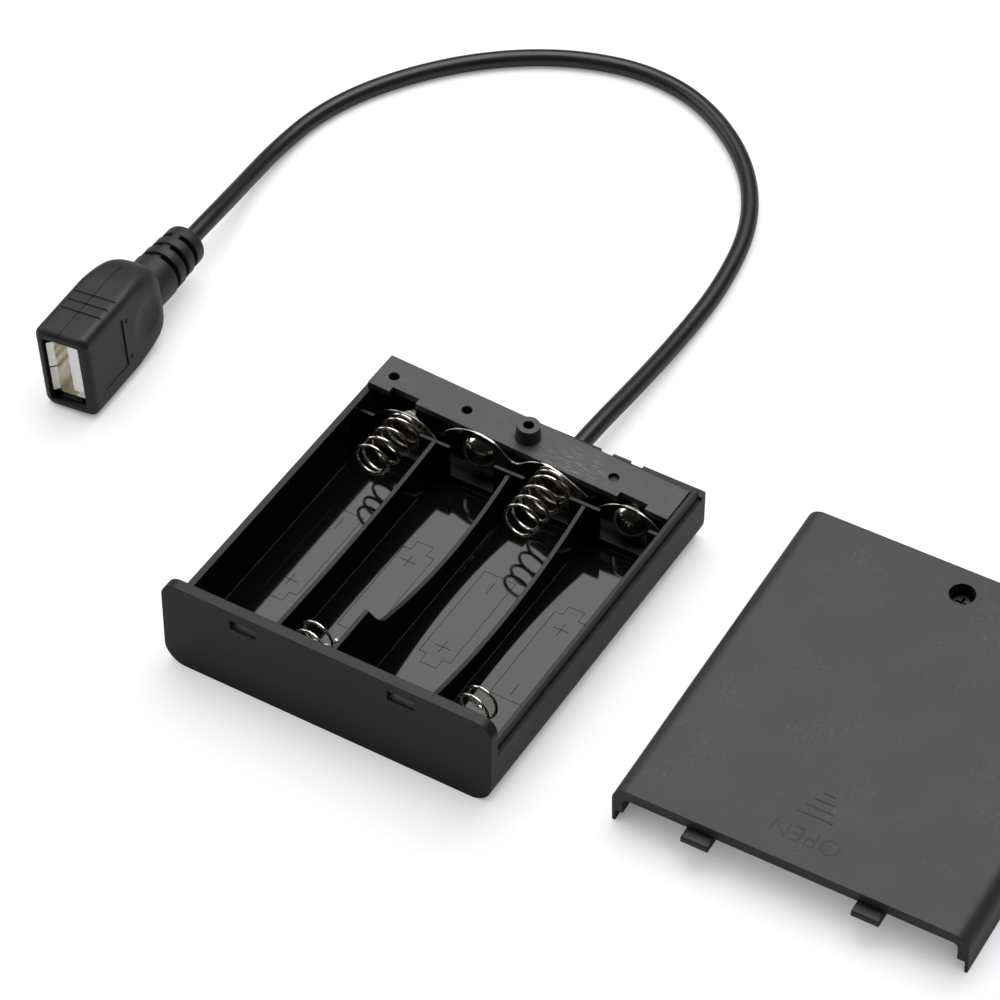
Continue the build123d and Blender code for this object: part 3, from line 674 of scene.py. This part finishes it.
@dataclass
class SpringSet:
    """The four cell springs, each one smooth round wire."""

    wire: float = 0.0006
    base_radius: float = 0.0036
    tip_radius: float = 0.003
    closed_turn: float = 0.9
    steps: int = 20
    gap: float = 0.00002
    springs: tuple[CellSpring, ...] = (
        CellSpring(1, 0.0262, -0.0119, 0.0072, 0.0095, 4.0, 40.0, 0.0009),
        CellSpring(2, -0.034, 0.0087, 0.00885, 0.0102, 3.4, 200.0, 0.002),
        CellSpring(3, 0.0262, -0.0125, 0.00885, 0.0103, 3.9, 0.0, 0.0022),
        CellSpring(4, -0.034, 0.0112, 0.00885, 0.0082, 3.4, 120.0, 0.002),
    )

    def line(self, spring: CellSpring) -> list[Point]:
        """The wire's control points, from the closed turn on the plate to the tip.

        Args:
            spring: the spring's own sizes.

        Returns:
            The points in the model's frame.
        """
        side = math.copysign(1.0, spring.length)
        seat_gap = self.wire / 2 + self.gap
        seat = spring.base_y + side * seat_gap
        first = self.wire + self.gap
        open_reach = abs(spring.length) - seat_gap - first - spring.last
        points = []
        for k in range(round((spring.turns + 1) * self.steps) + 1):
            turn = k / self.steps
            share = max(0.0, turn - self.closed_turn) / (spring.turns + 1 - self.closed_turn)
            radius = self.base_radius + share * (self.tip_radius - self.base_radius)
            opened = min(1.0, max(0.0, turn - self.closed_turn) / (spring.turns - self.closed_turn))
            reach = first * min(turn, 1.0) + opened * open_reach + spring.last * max(0.0, turn - spring.turns)
            angle = math.radians(spring.start + 360.0 * turn)
            middle_z = spring.base_z + share * (spring.tip_z - spring.base_z)
            x = spring.x + radius * math.cos(angle)
            z = middle_z + radius * math.sin(angle)
            points.append((x, seat + side * reach, z))
        return points

    def build(self, wardrobe: Wardrobe) -> None:
        """Makes the four springs in place of their plain solids."""
        for spring in self.springs:
            piece = wire_piece(f"coil_{spring.number}", self.line(spring), self.wire / 2)
            wardrobe.dress(piece, "spring wire")
            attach(piece, BOX)
            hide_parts(spring.node)
            LOG.info("piece %s for %s", piece.name, spring.node)


@dataclass
class SocketJacket:
    """The socket's moulded housing with its thumb dishes, grip grooves and slotted strain relief.

    Lengths are in millimetres in the housing's own place: +Y from the mouth to the cord, +Z up.
    """

    place: Point = (-81.85, 4.8, 9.305)
    turn: float = 2.83
    lean: float = 4.28
    half_width: float = 5.6
    half_height: float = 9.0
    length: float = 26.8
    front_round: float = 1.3
    front_steps: int = 8
    spacing: float = 0.5
    rear_gap: float = 0.6
    rear_steps: tuple[float, ...] = (0.3, 0.1, 0.0)
    long_round: float = 1.7
    rear_round_gain: float = 2.2
    bend_power: float = 2.3
    most_round: float = 0.999
    sharp_from: float = 32.0
    top_start: float = 15.6
    top_end: float = 4.1
    low_start: float = 18.4
    low_end: float = -4.6
    plan_start: float = 22.2
    plan_end: float = 2.6
    corner_steps: int = 8
    flat_steps: int = 14
    side_steps: int = 28
    mouth_centre: float = -0.15
    mouth_half: tuple[float, float] = (3.9, 7.15)
    mouth_depth: float = 2.0
    mouth_corner: float = 0.25
    shell_half: tuple[float, float] = (2.86, 6.56)
    shell_end: float = 16.6
    grips: tuple[float, ...] = (7.0, 9.45, 11.9)
    grip_half: float = 4.3
    groove_width: float = 0.35
    groove_depth: float = 0.2
    groove_wall: float = 0.04
    groove_skin: float = 0.2
    groove_clear: float = 0.12
    groove_touch: float = 0.001
    dish_y: float = 19.6
    dish_radius: float = 4.2
    dish_depth: float = 0.62
    dish_side: float = 2.0
    relief_start: float = 18.0
    relief_drop: float = 0.47
    relief_tilt: float = 2.3
    relief_first: float = 31.55
    relief_pitch: float = 3.37
    relief_slot: float = 1.25
    relief_radii: tuple[float, ...] = (4.75, 4.55, 4.35, 4.15)
    relief_core: float = 3.0
    relief_web: float = 1.05
    relief_web_height: float = 4.0
    relief_end: float = 42.3
    relief_edge: float = 0.8
    relief_edge_steps: int = 4
    relief_lip: float = 0.15
    relief_lip_fall: float = 0.1
    relief_sides: int = 80
    seam_x: float = -0.2
    seam_reach: tuple[float, float] = (0.3, 22.0)
    seam_sink: float = 0.02
    seam_gap: float = 0.05
    seam_radius: float = 0.07
    panel_sink: float = 0.06
    panel_y: float = 11.72
    panel_top: float = 5.3
    panel_foot: float = -5.1
    panel_front: float = 4.3
    upright_radius: float = 0.27
    foot_radius: float = 0.14
    dot_y: float = 13.15
    dot_heights: tuple[float, ...] = (4.2, -4.2)
    dot_reach: tuple[float, float] = (-0.3, 0.1)
    dot_radius: float = 0.42

    def placed(self) -> Matrix:
        """The housing's own place on the table."""
        turned = Matrix.Rotation(math.radians(self.turn), 4, "Z")
        leaned = Matrix.Rotation(math.radians(-self.lean), 4, "Y")
        return Matrix.Scale(MM, 4) @ Matrix.Translation(self.place) @ turned @ leaned

    def eased(self, y: float, start: float, value: float, last: float) -> float:
        """A value that stays the same and then bends to another one at the housing's end.

        Args:
            y: the place along the housing.
            start: where the bend starts.
            value: the value before the bend.
            last: the value at the end.

        Returns:
            The value at that place.
        """
        share = min(1.0, max(0.0, (y - start) / (self.length - start)))
        return last + (value - last) * max(0.0, 1.0 - share**self.bend_power) ** (1.0 / self.bend_power)

    def top(self, y: float) -> float:
        """The height of the housing's top, without the rounding of its front."""
        return self.eased(y, self.top_start, self.half_height, self.top_end)

    def in_groove(self, y: float, margin: float) -> bool:
        """Whether a place along the housing lies in a grip groove, or within a margin of one."""
        return any(start - margin <= y <= start + self.groove_width + margin for start in self.grips)

    def ring(
        self, half_x: float, low: float, high: float, corner: float, middle: float, y: float
    ) -> list[Vector]:
        """One rounded rectangle across the housing.

        Args:
            half_x: half its width.
            low: its bottom.
            high: its top.
            corner: the radius of its corners.
            middle: its middle in X.
            y: its place along the housing.

        Returns:
            The ring's points, counted the same way on every ring.
        """
        corner = min(corner, self.most_round * half_x, self.most_round * (high - low) / 2)
        spots = ((1, high - corner), (-1, high - corner), (-1, low + corner), (1, low + corner))
        points = []
        for number, (side, z) in enumerate(spots):
            x = middle + side * (half_x - corner)
            for k in range(self.corner_steps + 1):
                angle = math.pi / 2 * (number + k / self.corner_steps)
                points.append(Vector((x + corner * math.cos(angle), y, z + corner * math.sin(angle))))
            steps = self.flat_steps if number % 2 == 0 else self.side_steps
            ahead_side, ahead_z = spots[(number + 1) % 4]
            ahead_x = middle + ahead_side * (half_x - corner)
            angle = math.pi / 2 * (number + 1)
            start = points[-1]
            end = Vector((ahead_x + corner * math.cos(angle), y, ahead_z + corner * math.sin(angle)))
            points += [start.lerp(end, k / steps) for k in range(1, steps)]
        return points

    def stations(self) -> list[float]:
        """The places along the housing where a ring stands, closest at its front and its grooves."""
        steps = self.front_steps
        front = [self.front_round * (1 - math.cos(math.pi / 2 * k / steps)) for k in range(steps + 1)]
        walls = (-self.groove_wall, 0.0, self.groove_width, self.groove_width + self.groove_wall)
        grooves = [start + wall for start in self.grips for wall in walls]
        count = math.ceil((self.length - self.rear_gap - self.front_round) / self.spacing)
        body = [self.front_round + self.spacing * k for k in range(1, count)]
        clear = [y for y in body if all(abs(y - groove) > self.groove_clear for groove in grooves)]
        rear = [self.length - back for back in self.rear_steps]
        return sorted(front + grooves + clear + rear)

    def press(self, ring: list[Vector], high: float, grooved: bool) -> None:
        """Presses the thumb dishes, and a grip groove where there is one, into a ring.

        Args:
            ring: the ring's points, which are moved.
            high: the ring's top.
            grooved: whether the ring stands in a grip groove.
        """
        for point in ring:
            away = math.hypot(point.y - self.dish_y, point.z) / self.dish_radius
            if away < 1.0 and abs(point.x) > self.dish_side:
                point.x -= math.copysign(self.dish_depth * (1 - away**2), point.x)
            if grooved and point.z > high - self.groove_skin and abs(point.x) < self.grip_half:
                point.z -= self.groove_depth

    def body_rings(self) -> list[list[Vector]]:
        """The rings of the outside, from the mouth to the end, with grooves and dishes pressed in."""
        rings = []
        for y in self.stations():
            share = min(1.0, y / self.front_round)
            inset = self.front_round * (1 - math.sqrt(max(0.0, 1 - (1 - share) ** 2)))
            high = self.top(y) - inset
            low = self.eased(y, self.low_start, -self.half_height, self.low_end) + inset
            wide = self.eased(y, self.plan_start, self.half_width, self.plan_end) - inset
            past_top = max(0.0, (y - self.top_start) / (self.length - self.top_start))
            corner = self.long_round + self.rear_round_gain * past_top
            ring = self.ring(wide, low, high, corner, 0.0, y)
            self.press(ring, high, self.in_groove(y, self.groove_touch))
            rings.append(ring)
        return rings

    def mouth_rings(self) -> list[list[Vector]]:
        """The rings of the mouth, from its edge to the bottom of the shell's pocket."""
        rings = []
        steps = (
            (self.mouth_half, self.mouth_centre, 0.0),
            (self.mouth_half, self.mouth_centre, self.mouth_depth),
            (self.shell_half, 0.0, self.mouth_depth),
            (self.shell_half, 0.0, self.shell_end),
        )
        for (half_x, half_z), middle, y in steps:
            rings.append(self.ring(half_x, -half_z, half_z, self.mouth_corner, middle, y))
        return rings

    def relief_profile(self) -> list[tuple[float, float, bool]]:
        """The strain relief's outline: place along it, radius, and whether it lies in a slot."""
        profile = [(self.relief_start, self.relief_radii[0], False)]
        for k, (before, after) in enumerate(zip(self.relief_radii, self.relief_radii[1:])):
            start = self.relief_first + k * self.relief_pitch
            stop = start + self.relief_slot
            profile.append((start - self.relief_lip, before, False))
            profile.append((start, before - self.relief_lip_fall, False))
            profile.append((start, self.relief_core, True))
            profile.append((stop, self.relief_core, True))
            profile.append((stop, after - self.relief_lip_fall, False))
            profile.append((stop + self.relief_lip, after, False))
        for k in range(self.relief_edge_steps + 1):
            angle = math.pi / 2 * k / self.relief_edge_steps
            along = self.relief_end - self.relief_edge * (1 - math.sin(angle))
            radius = self.relief_radii[-1] - self.relief_edge * (1 - math.cos(angle))
            profile.append((along, radius, False))
        return profile

    def relief_rings(self) -> list[list[Vector]]:
        """The rings of the strain relief, with its slots bridged above and below."""
        drop = Matrix.Translation((0.0, self.relief_start, -self.relief_drop))
        tilt = Matrix.Rotation(math.radians(-self.relief_tilt), 4, "X")
        rings = []
        for y, radius, slotted in self.relief_profile():
            ring = []
            for k in range(self.relief_sides):
                angle = 2 * math.pi * (k + 0.5) / self.relief_sides
                reach = radius
                if slotted and abs(self.relief_web_height * math.cos(angle)) < self.relief_web:
                    reach = self.relief_web_height
                spot = Vector((reach * math.cos(angle), y - self.relief_start, reach * math.sin(angle)))
                ring.append(drop @ tilt @ spot)
            rings.append(ring)
        return rings

    @staticmethod
    def skin(shape: bmesh.types.BMesh, rings: list[list[Vector]]) -> None:
        """Joins rings with faces and closes both ends.

        Args:
            shape: the mesh that gets the faces.
            rings: rings of the same number of points.
        """
        made = [[shape.verts.new(point) for point in ring] for ring in rings]
        for near, far in zip(made, made[1:]):
            for k, corner in enumerate(near):
                after = (k + 1) % len(near)
                shape.faces.new((corner, near[after], far[after], far[k]))
        for ring in (made[0], made[-1]):
            shape.faces.new(ring)

    def line(self, name: str, points: list[Point], radius: float, wardrobe: Wardrobe) -> None:
        """A thin near-black line pressed into the housing: painted shade in a seam, a step or a pit.

        Args:
            name: the piece's name.
            points: the line's points in the housing's own place.
            radius: its half thickness.
            wardrobe: the finished materials.
        """
        place = self.placed()
        on_table = [tuple(place @ Vector(point)) for point in points]
        piece = wire_piece(name, on_table, radius * MM, Course.STRAIGHT)
        wardrobe.dress(piece, "socket groove painted shade")
        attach(piece, BOX)

    def build_lines(self, wardrobe: Wardrobe) -> None:
        """Makes the seam along the top, and the panel's two lines and two dots on the side."""
        first, last = self.seam_reach
        clear = [y for y in self.stations() if first < y < last and not self.in_groove(y, self.seam_gap)]
        seam = [(self.seam_x, y, self.top(y) - self.seam_sink) for y in clear]
        self.line("socket_seam", seam, self.seam_radius, wardrobe)
        side = self.half_width - self.panel_sink
        top = (side, self.panel_y, self.panel_top)
        foot = (side, self.panel_y, self.panel_foot)
        front = (side, self.panel_front, self.panel_foot)
        self.line("socket_panel_upright", [top, foot], self.upright_radius, wardrobe)
        self.line("socket_panel_foot", [foot, front], self.foot_radius, wardrobe)
        for number, z in enumerate(self.dot_heights):
            ends = [(side + reach, self.dot_y, z) for reach in self.dot_reach]
            self.line(f"socket_dot_{number + 1}", ends, self.dot_radius, wardrobe)

    def build(self, wardrobe: Wardrobe) -> None:
        """Makes the housing in place of its plain solid, with its seam and panel lines."""
        shape = bmesh.new()
        self.skin(shape, self.mouth_rings()[::-1] + self.body_rings())
        self.skin(shape, self.relief_rings())
        bmesh.ops.recalc_face_normals(shape, faces=shape.faces)
        shape.transform(self.placed())
        mesh = bpy.data.meshes.new("socket_jacket")
        shape.to_mesh(mesh)
        shape.free()
        mesh.shade_smooth()
        mesh.set_sharp_from_angle(angle=math.radians(self.sharp_from))
        jacket = place_in_scene(bpy.data.objects.new("socket_jacket", mesh))
        wardrobe.dress(jacket, "socket plastic")
        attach(jacket, BOX)
        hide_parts("socket_housing")
        self.build_lines(wardrobe)
        LOG.info("piece %s: %d faces", jacket.name, len(mesh.polygons))


@dataclass
class ContactRims:
    """The rolled bright rims along the top edges of the contact plates.

    The points of the bridge's edge, X and Z, are in millimetres.
    """

    radius: float = 0.0002
    sink: float = 0.00012
    half_width: float = 0.0068
    steps: int = 24
    rear_y: float = 0.0264
    rear_shoulder: float = 0.0069
    rear_top: float = 0.0109
    front_y: float = -0.0342
    front_shoulder: float = 0.0086
    front_top: float = 0.0131
    bridge: tuple[tuple[float, float], ...] = (
        (-14.475, 10.9),
        (-13.84, 11.5),
        (-12.4, 12.45),
        (-10.6, 13.2),
        (-8.8, 13.48),
        (-7.1, 13.45),
        (-5.6, 13.15),
        (-4.2, 12.6),
        (-3.0, 11.65),
        (-1.7, 10.45),
        (-0.5, 9.9),
        (0.6, 10.3),
        (1.7, 11.15),
        (2.9, 12.0),
        (4.2, 12.5),
        (5.7, 12.8),
        (7.4, 12.6),
        (9.0, 12.1),
        (10.8, 11.2),
        (12.5, 10.35),
        (14.475, 9.1),
    )

    def arch(self, middle: float, y: float, shoulder: float, top: float) -> list[Point]:
        """The top edge of one arched plate.

        Args:
            middle: the plate's middle in X.
            y: the plate's middle in Y.
            shoulder: the height where the arch starts.
            top: the height of its crown.

        Returns:
            Points along the edge, from left to right.
        """
        rise = top - shoulder
        radius = (self.half_width**2 + rise**2) / (2 * rise)
        spread = math.asin(self.half_width / radius)
        points = []
        for k in range(self.steps + 1):
            angle = spread * (2 * k / self.steps - 1)
            reach = radius * math.cos(angle) - radius
            points.append((middle + radius * math.sin(angle), y, top + reach - self.sink))
        return points

    def build(self, wardrobe: Wardrobe) -> None:
        """Makes a rim for each arch and one for the plate that joins the two middle bays."""
        lines = {}
        for name, middle in (("rim_rear_left", BAY_MIDDLES[0]), ("rim_rear_right", BAY_MIDDLES[-1])):
            lines[name] = self.arch(middle, self.rear_y, self.rear_shoulder, self.rear_top)
        for number, middle in enumerate(BAY_MIDDLES):
            points = self.arch(middle, self.front_y, self.front_shoulder, self.front_top)
            lines[f"rim_front_{number + 1}"] = points
        lines["rim_rear_bridge"] = [(x * MM, self.rear_y, z * MM - self.sink) for x, z in self.bridge]
        for name, points in lines.items():
            piece = wire_piece(name, points, self.radius)
            wardrobe.dress(piece, "plate rim")
            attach(piece, BOX)
            LOG.info("piece %s", name)


@dataclass
class BayMarks:
    """The thin cell outlines and polarity marks on the floors of the four bays.

    The middles of the plus and minus marks, X and Y, are in millimetres.
    """

    radius: float = 0.00006
    floor: float = 0.0016
    bays: tuple[float, ...] = (-0.0235, *BAY_MIDDLES[1:])
    half_body: float = 0.0031
    half_nib: float = 0.0016
    front: float = -0.01395
    rear: float = 0.0079
    turned_shift: float = -0.0021
    nib: float = 0.00225
    half_mark: float = 0.0015
    plus: tuple[tuple[float, float], ...] = ((-23.5, -11.2), (-8.2, 3.1), (7.7, -11.3), (23.05, 2.6))
    minus: tuple[tuple[float, float], ...] = ((-23.5, 4.65), (-7.5, -13.5), (7.55, 4.7), (23.3, -13.5))

    def outline(self, middle: float, nib_at_front: bool) -> list[Point]:
        """The closed outline of one cell.

        Args:
            middle: the bay's middle in X.
            nib_at_front: whether the cell's plus end points to the tall end.

        Returns:
            The outline's corners, with the first one again at the end.
        """
        side = -1.0 if nib_at_front else 1.0
        near = self.front if nib_at_front else self.rear
        far = self.rear if nib_at_front else self.front
        tip = near + side * self.nib
        corners = [
            (-self.half_body, near),
            (-self.half_nib, near),
            (-self.half_nib, tip),
            (self.half_nib, tip),
            (self.half_nib, near),
            (self.half_body, near),
            (self.half_body, far),
            (-self.half_body, far),
            (-self.half_body, near),
        ]
        shift = 0.0 if nib_at_front else self.turned_shift
        return [(middle + x, y + shift, self.floor) for x, y in corners]

    def stroke(self, x: float, y: float, half_x: float, half_y: float) -> list[Point]:
        """One stroke of a mark.

        Args:
            x: its middle in X, in millimetres.
            y: its middle in Y, in millimetres.
            half_x: half its reach in X.
            half_y: half its reach in Y.

        Returns:
            Its two ends.
        """
        middle = (x * MM, y * MM)
        return [(middle[0] + side * half_x, middle[1] + side * half_y, self.floor) for side in (-1, 1)]

    def strokes(self) -> list[list[Point]]:
        """The strokes of all plus and minus marks."""
        across = [self.stroke(x, y, self.half_mark, 0.0) for x, y in self.plus]
        return across + [self.stroke(x, y, 0.0, self.half_mark) for x, y in self.plus + self.minus]

    def build(self, wardrobe: Wardrobe) -> None:
        """Makes the outlines and the marks as fine lines half sunk into the floors."""
        lines = [self.outline(x, number % 2 == 0) for number, x in enumerate(self.bays)] + self.strokes()
        for number, points in enumerate(lines):
            piece = wire_piece(f"bay_line_{number + 1}", points, self.radius, Course.STRAIGHT)
            wardrobe.dress(piece, "engraved line")
            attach(piece, BOX)
        LOG.info("bay marks: %d lines", len(lines))


@dataclass
class LidMarks:
    """The word and the arrow of four grooves on the lid's top, in the lid's own place.

    The grooves' places along Y and their lengths are in millimetres.
    """

    corner: Point = (0.0511, -0.0287, 0.0)
    pitch: float = 2.97565
    roll: float = 0.045686
    turn: float = 0.878813
    top: float = 0.0085
    word_place: tuple[float, float] = (0.0326, 0.0061)
    word_size: float = 0.0048
    word_spacing: float = 1.06
    word_depth: float = 0.00003
    word_thin: float = -0.00007
    grooves: tuple[tuple[float, float], ...] = ((15.54, 2.35), (13.86, 3.5), (12.13, 5.2), (10.42, 6.4))
    groove_middle: float = 0.0321
    groove_radius: float = 0.0003
    groove_sink: float = 0.00024

    def placed(self) -> Matrix:
        """The lid's own place on the table."""
        turned = Matrix.Identity(4)
        for axis, angle in (("X", self.pitch), ("Y", self.roll), ("Z", self.turn)):
            turned = turned @ Matrix.Rotation(math.radians(angle), 4, axis)
        return Matrix.Translation(self.corner) @ turned

    def word(self) -> bpy.types.Object:
        """The word as flat letters, upside down as seen from the lid's open edge."""
        text = bpy.data.curves.new("open_word", "FONT")
        text.body = "OPEN"
        text.size = self.word_size
        text.space_character = self.word_spacing
        text.extrude = self.word_depth
        text.offset = self.word_thin
        text.align_x = "CENTER"
        text.align_y = "CENTER"
        drawn = bpy.data.objects.new("open_drawing", text)
        mesh = bpy.data.meshes.new_from_object(drawn)
        bpy.data.objects.remove(drawn)
        piece = place_in_scene(bpy.data.objects.new("open_word", mesh))
        spot = Matrix.Translation((*self.word_place, self.top))
        piece.matrix_world = self.placed() @ spot @ Matrix.Rotation(math.pi, 4, "Z")
        return piece

    def build(self, wardrobe: Wardrobe) -> None:
        """Makes the word and the grooves, in plastic darkened as painted shade."""
        pieces = [self.word()]
        place = self.placed()
        for number, (y, length) in enumerate(self.grooves):
            half = length * MM / 2
            xs = (self.groove_middle - half, self.groove_middle + half)
            ends = [place @ Vector((x, y * MM, self.top - self.groove_sink)) for x in xs]
            points = [tuple(end) for end in ends]
            name = f"arrow_groove_{number + 1}"
            pieces.append(wire_piece(name, points, self.groove_radius, Course.STRAIGHT))
        for piece in pieces:
            # Darker plastic than the lid's own: painted shade in the grooves and letters.
            wardrobe.dress(piece, "lid groove painted shade")
            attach(piece, BOX)
            LOG.info("piece %s", piece.name)


@dataclass(frozen=True)
class Viewpoint:
    """The camera, at the photograph's place and angle."""

    place: Point = (0.26923, -0.43343, 0.53425)
    azimuth: float = 30.662
    elevation: float = 45.026
    roll: float = 0.2538
    lens: float = 152.76
    sensor: float = 36.0

    def build(self) -> None:
        """Makes the camera and sets it as the scene's own."""
        turn, lift, roll = (math.radians(v) for v in (self.azimuth, self.elevation, self.roll))
        back = Vector((math.sin(turn) * math.cos(lift), -math.cos(turn) * math.cos(lift), math.sin(lift)))
        right = Vector((math.cos(turn), math.sin(turn), 0.0))
        up = back.cross(right)
        rolled_right = right * math.cos(roll) + up * math.sin(roll)
        rolled_up = up * math.cos(roll) - right * math.sin(roll)
        camera = bpy.data.cameras.new("camera")
        camera.lens = self.lens
        camera.sensor_width = self.sensor
        camera.sensor_fit = "HORIZONTAL"
        camera.clip_start = 0.01
        camera.clip_end = 10.0
        holder = place_in_scene(bpy.data.objects.new("camera", camera))
        turned = Matrix((rolled_right, rolled_up, back)).transposed().to_4x4()
        holder.matrix_world = Matrix.Translation(self.place) @ turned
        bpy.context.scene.camera = holder


@dataclass(frozen=True)
class Lamp:
    """One soft rectangular lamp that points at a spot on the table."""

    name: str
    place: Point
    aim: Point
    width: float
    height: float
    power: float
    colour: Colour = (1.0, 1.0, 1.0)

    def build(self) -> None:
        """Makes the lamp."""
        light = bpy.data.lights.new(self.name, "AREA")
        light.shape = "RECTANGLE"
        light.size = self.width
        light.size_y = self.height
        light.energy = self.power
        light.color = self.colour
        holder = place_in_scene(bpy.data.objects.new(self.name, light))
        holder.location = self.place
        holder.rotation_mode = "QUATERNION"
        holder.rotation_quaternion = (Vector(self.aim) - Vector(self.place)).to_track_quat("-Z", "Y")


@dataclass
class Studio:
    """The white table, the room's light and the lamps."""

    floor_colour: Colour = (0.52, 0.52, 0.52)
    floor_glow: float = 0.6
    # How far from the objects the painted contact shadow on the table reaches.
    painted_shadow_reach: float = 0.02
    floor_size: float = 6.0
    near_light: float = 0.12
    far_light: float = 0.7
    mirrored_glow: float = 0.35
    # The glow's share where the objects are closest: the depth of the painted contact shadow.
    painted_shadow_glow: float = 0.25
    clearance: float = 0.00002
    lamps: tuple[Lamp, ...] = (
        Lamp("overhead softbox", (-0.1, 0.35, 0.9), (0.0, 0.02, 0.0), 0.9, 0.9, 10.0),
        Lamp("left softbox", (-0.9, -0.1, 0.5), (0.0, 0.0, 0.0), 0.6, 0.5, 2.0),
    )

    def build_world(self) -> None:
        """A plain bright room: white to the camera, and softer as light, most of all from the near side."""
        world = bpy.data.worlds.new("room")
        world.use_nodes = True
        bpy.context.scene.world = world
        tree = Tree(world.node_tree)
        shader = tree.nodes["Background"]
        rays = tree.add("LightPath").outputs
        seen = tree.math("MAXIMUM", rays["Is Camera Ray"], rays["Is Transmission Ray"])
        depth = tree.add("SeparateXYZ", in_0=tree.add("TexCoord").outputs["Generated"]).outputs[1]
        light = tree.spread(depth, -1.0, 1.0, self.near_light, self.far_light)
        strength = tree.add("Mix", in_0=seen, in_2=light, in_3=1.0).outputs[0]
        tree.feed(shader.inputs["Strength"], strength)

    def build_floor(self) -> None:
        """A wide pale table that goes white to the camera where no shadow falls, its glow dimmed near the
        objects as painted contact shadow.
        """
        mesh = bpy.data.meshes.new("table")
        half = self.floor_size / 2
        corners = [(-half, -half, 0.0), (half, -half, 0.0), (half, half, 0.0), (-half, half, 0.0)]
        mesh.from_pydata(corners, [], [(0, 1, 2, 3)])
        floor = place_in_scene(bpy.data.objects.new("table", mesh))
        floor.location.z = -self.clearance
        material = new_material("white table")
        tree = Tree(material.node_tree)
        shader = tree.nodes["Principled BSDF"]
        shader.inputs["Roughness"].default_value = 0.6
        shader.inputs["Specular IOR Level"].default_value = 0.2
        shader.inputs["Base Color"].default_value = rgba(self.floor_colour)
        rays = tree.add("LightPath").outputs
        mirrored = tree.math("MULTIPLY", rays["Is Glossy Ray"], self.mirrored_glow)
        seen = tree.math("MAXIMUM", rays["Is Camera Ray"], mirrored)
        seen = tree.math("MAXIMUM", seen, rays["Is Transmission Ray"])
        # Ambient occlusion dims the table's glow close to the objects: painted contact shadow.
        near = tree.add("AmbientOcclusion", samples=8, in_Distance=self.painted_shadow_reach).outputs["AO"]
        painted_shadow_share = tree.spread(near, 0.1, 0.6, self.painted_shadow_glow)
        painted_glow = tree.math("MULTIPLY", tree.math("MULTIPLY", seen, painted_shadow_share), self.floor_glow)
        shader.inputs["Emission Color"].default_value = rgba((1.0, 1.0, 1.0))
        tree.feed(shader.inputs["Emission Strength"], painted_glow)
        mesh.materials.append(material)

    def build(self) -> None:
        """Sets the view and makes the room, the table and the lamps."""
        bpy.context.scene.view_settings.view_transform = "Standard"
        self.build_world()
        self.build_floor()
        for lamp in self.lamps:
            lamp.build()


def main() -> None:
    """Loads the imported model, dresses it, adds the pieces and sets the scene."""
    logging.basicConfig(level=logging.INFO, format="%(message)s")
    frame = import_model()
    Viewpoint().build()
    Studio().build()
    wardrobe = Wardrobe()
    wardrobe.dress_frame(frame["nodes"])
    SocketJacket().build(wardrobe)
    SocketLead().build(wardrobe)
    SpringSet().build(wardrobe)
    ContactRims().build(wardrobe)
    BayMarks().build(wardrobe)
    LidMarks().build(wardrobe)
    bpy.context.view_layer.update()


if __name__ == "__main__":
    main()
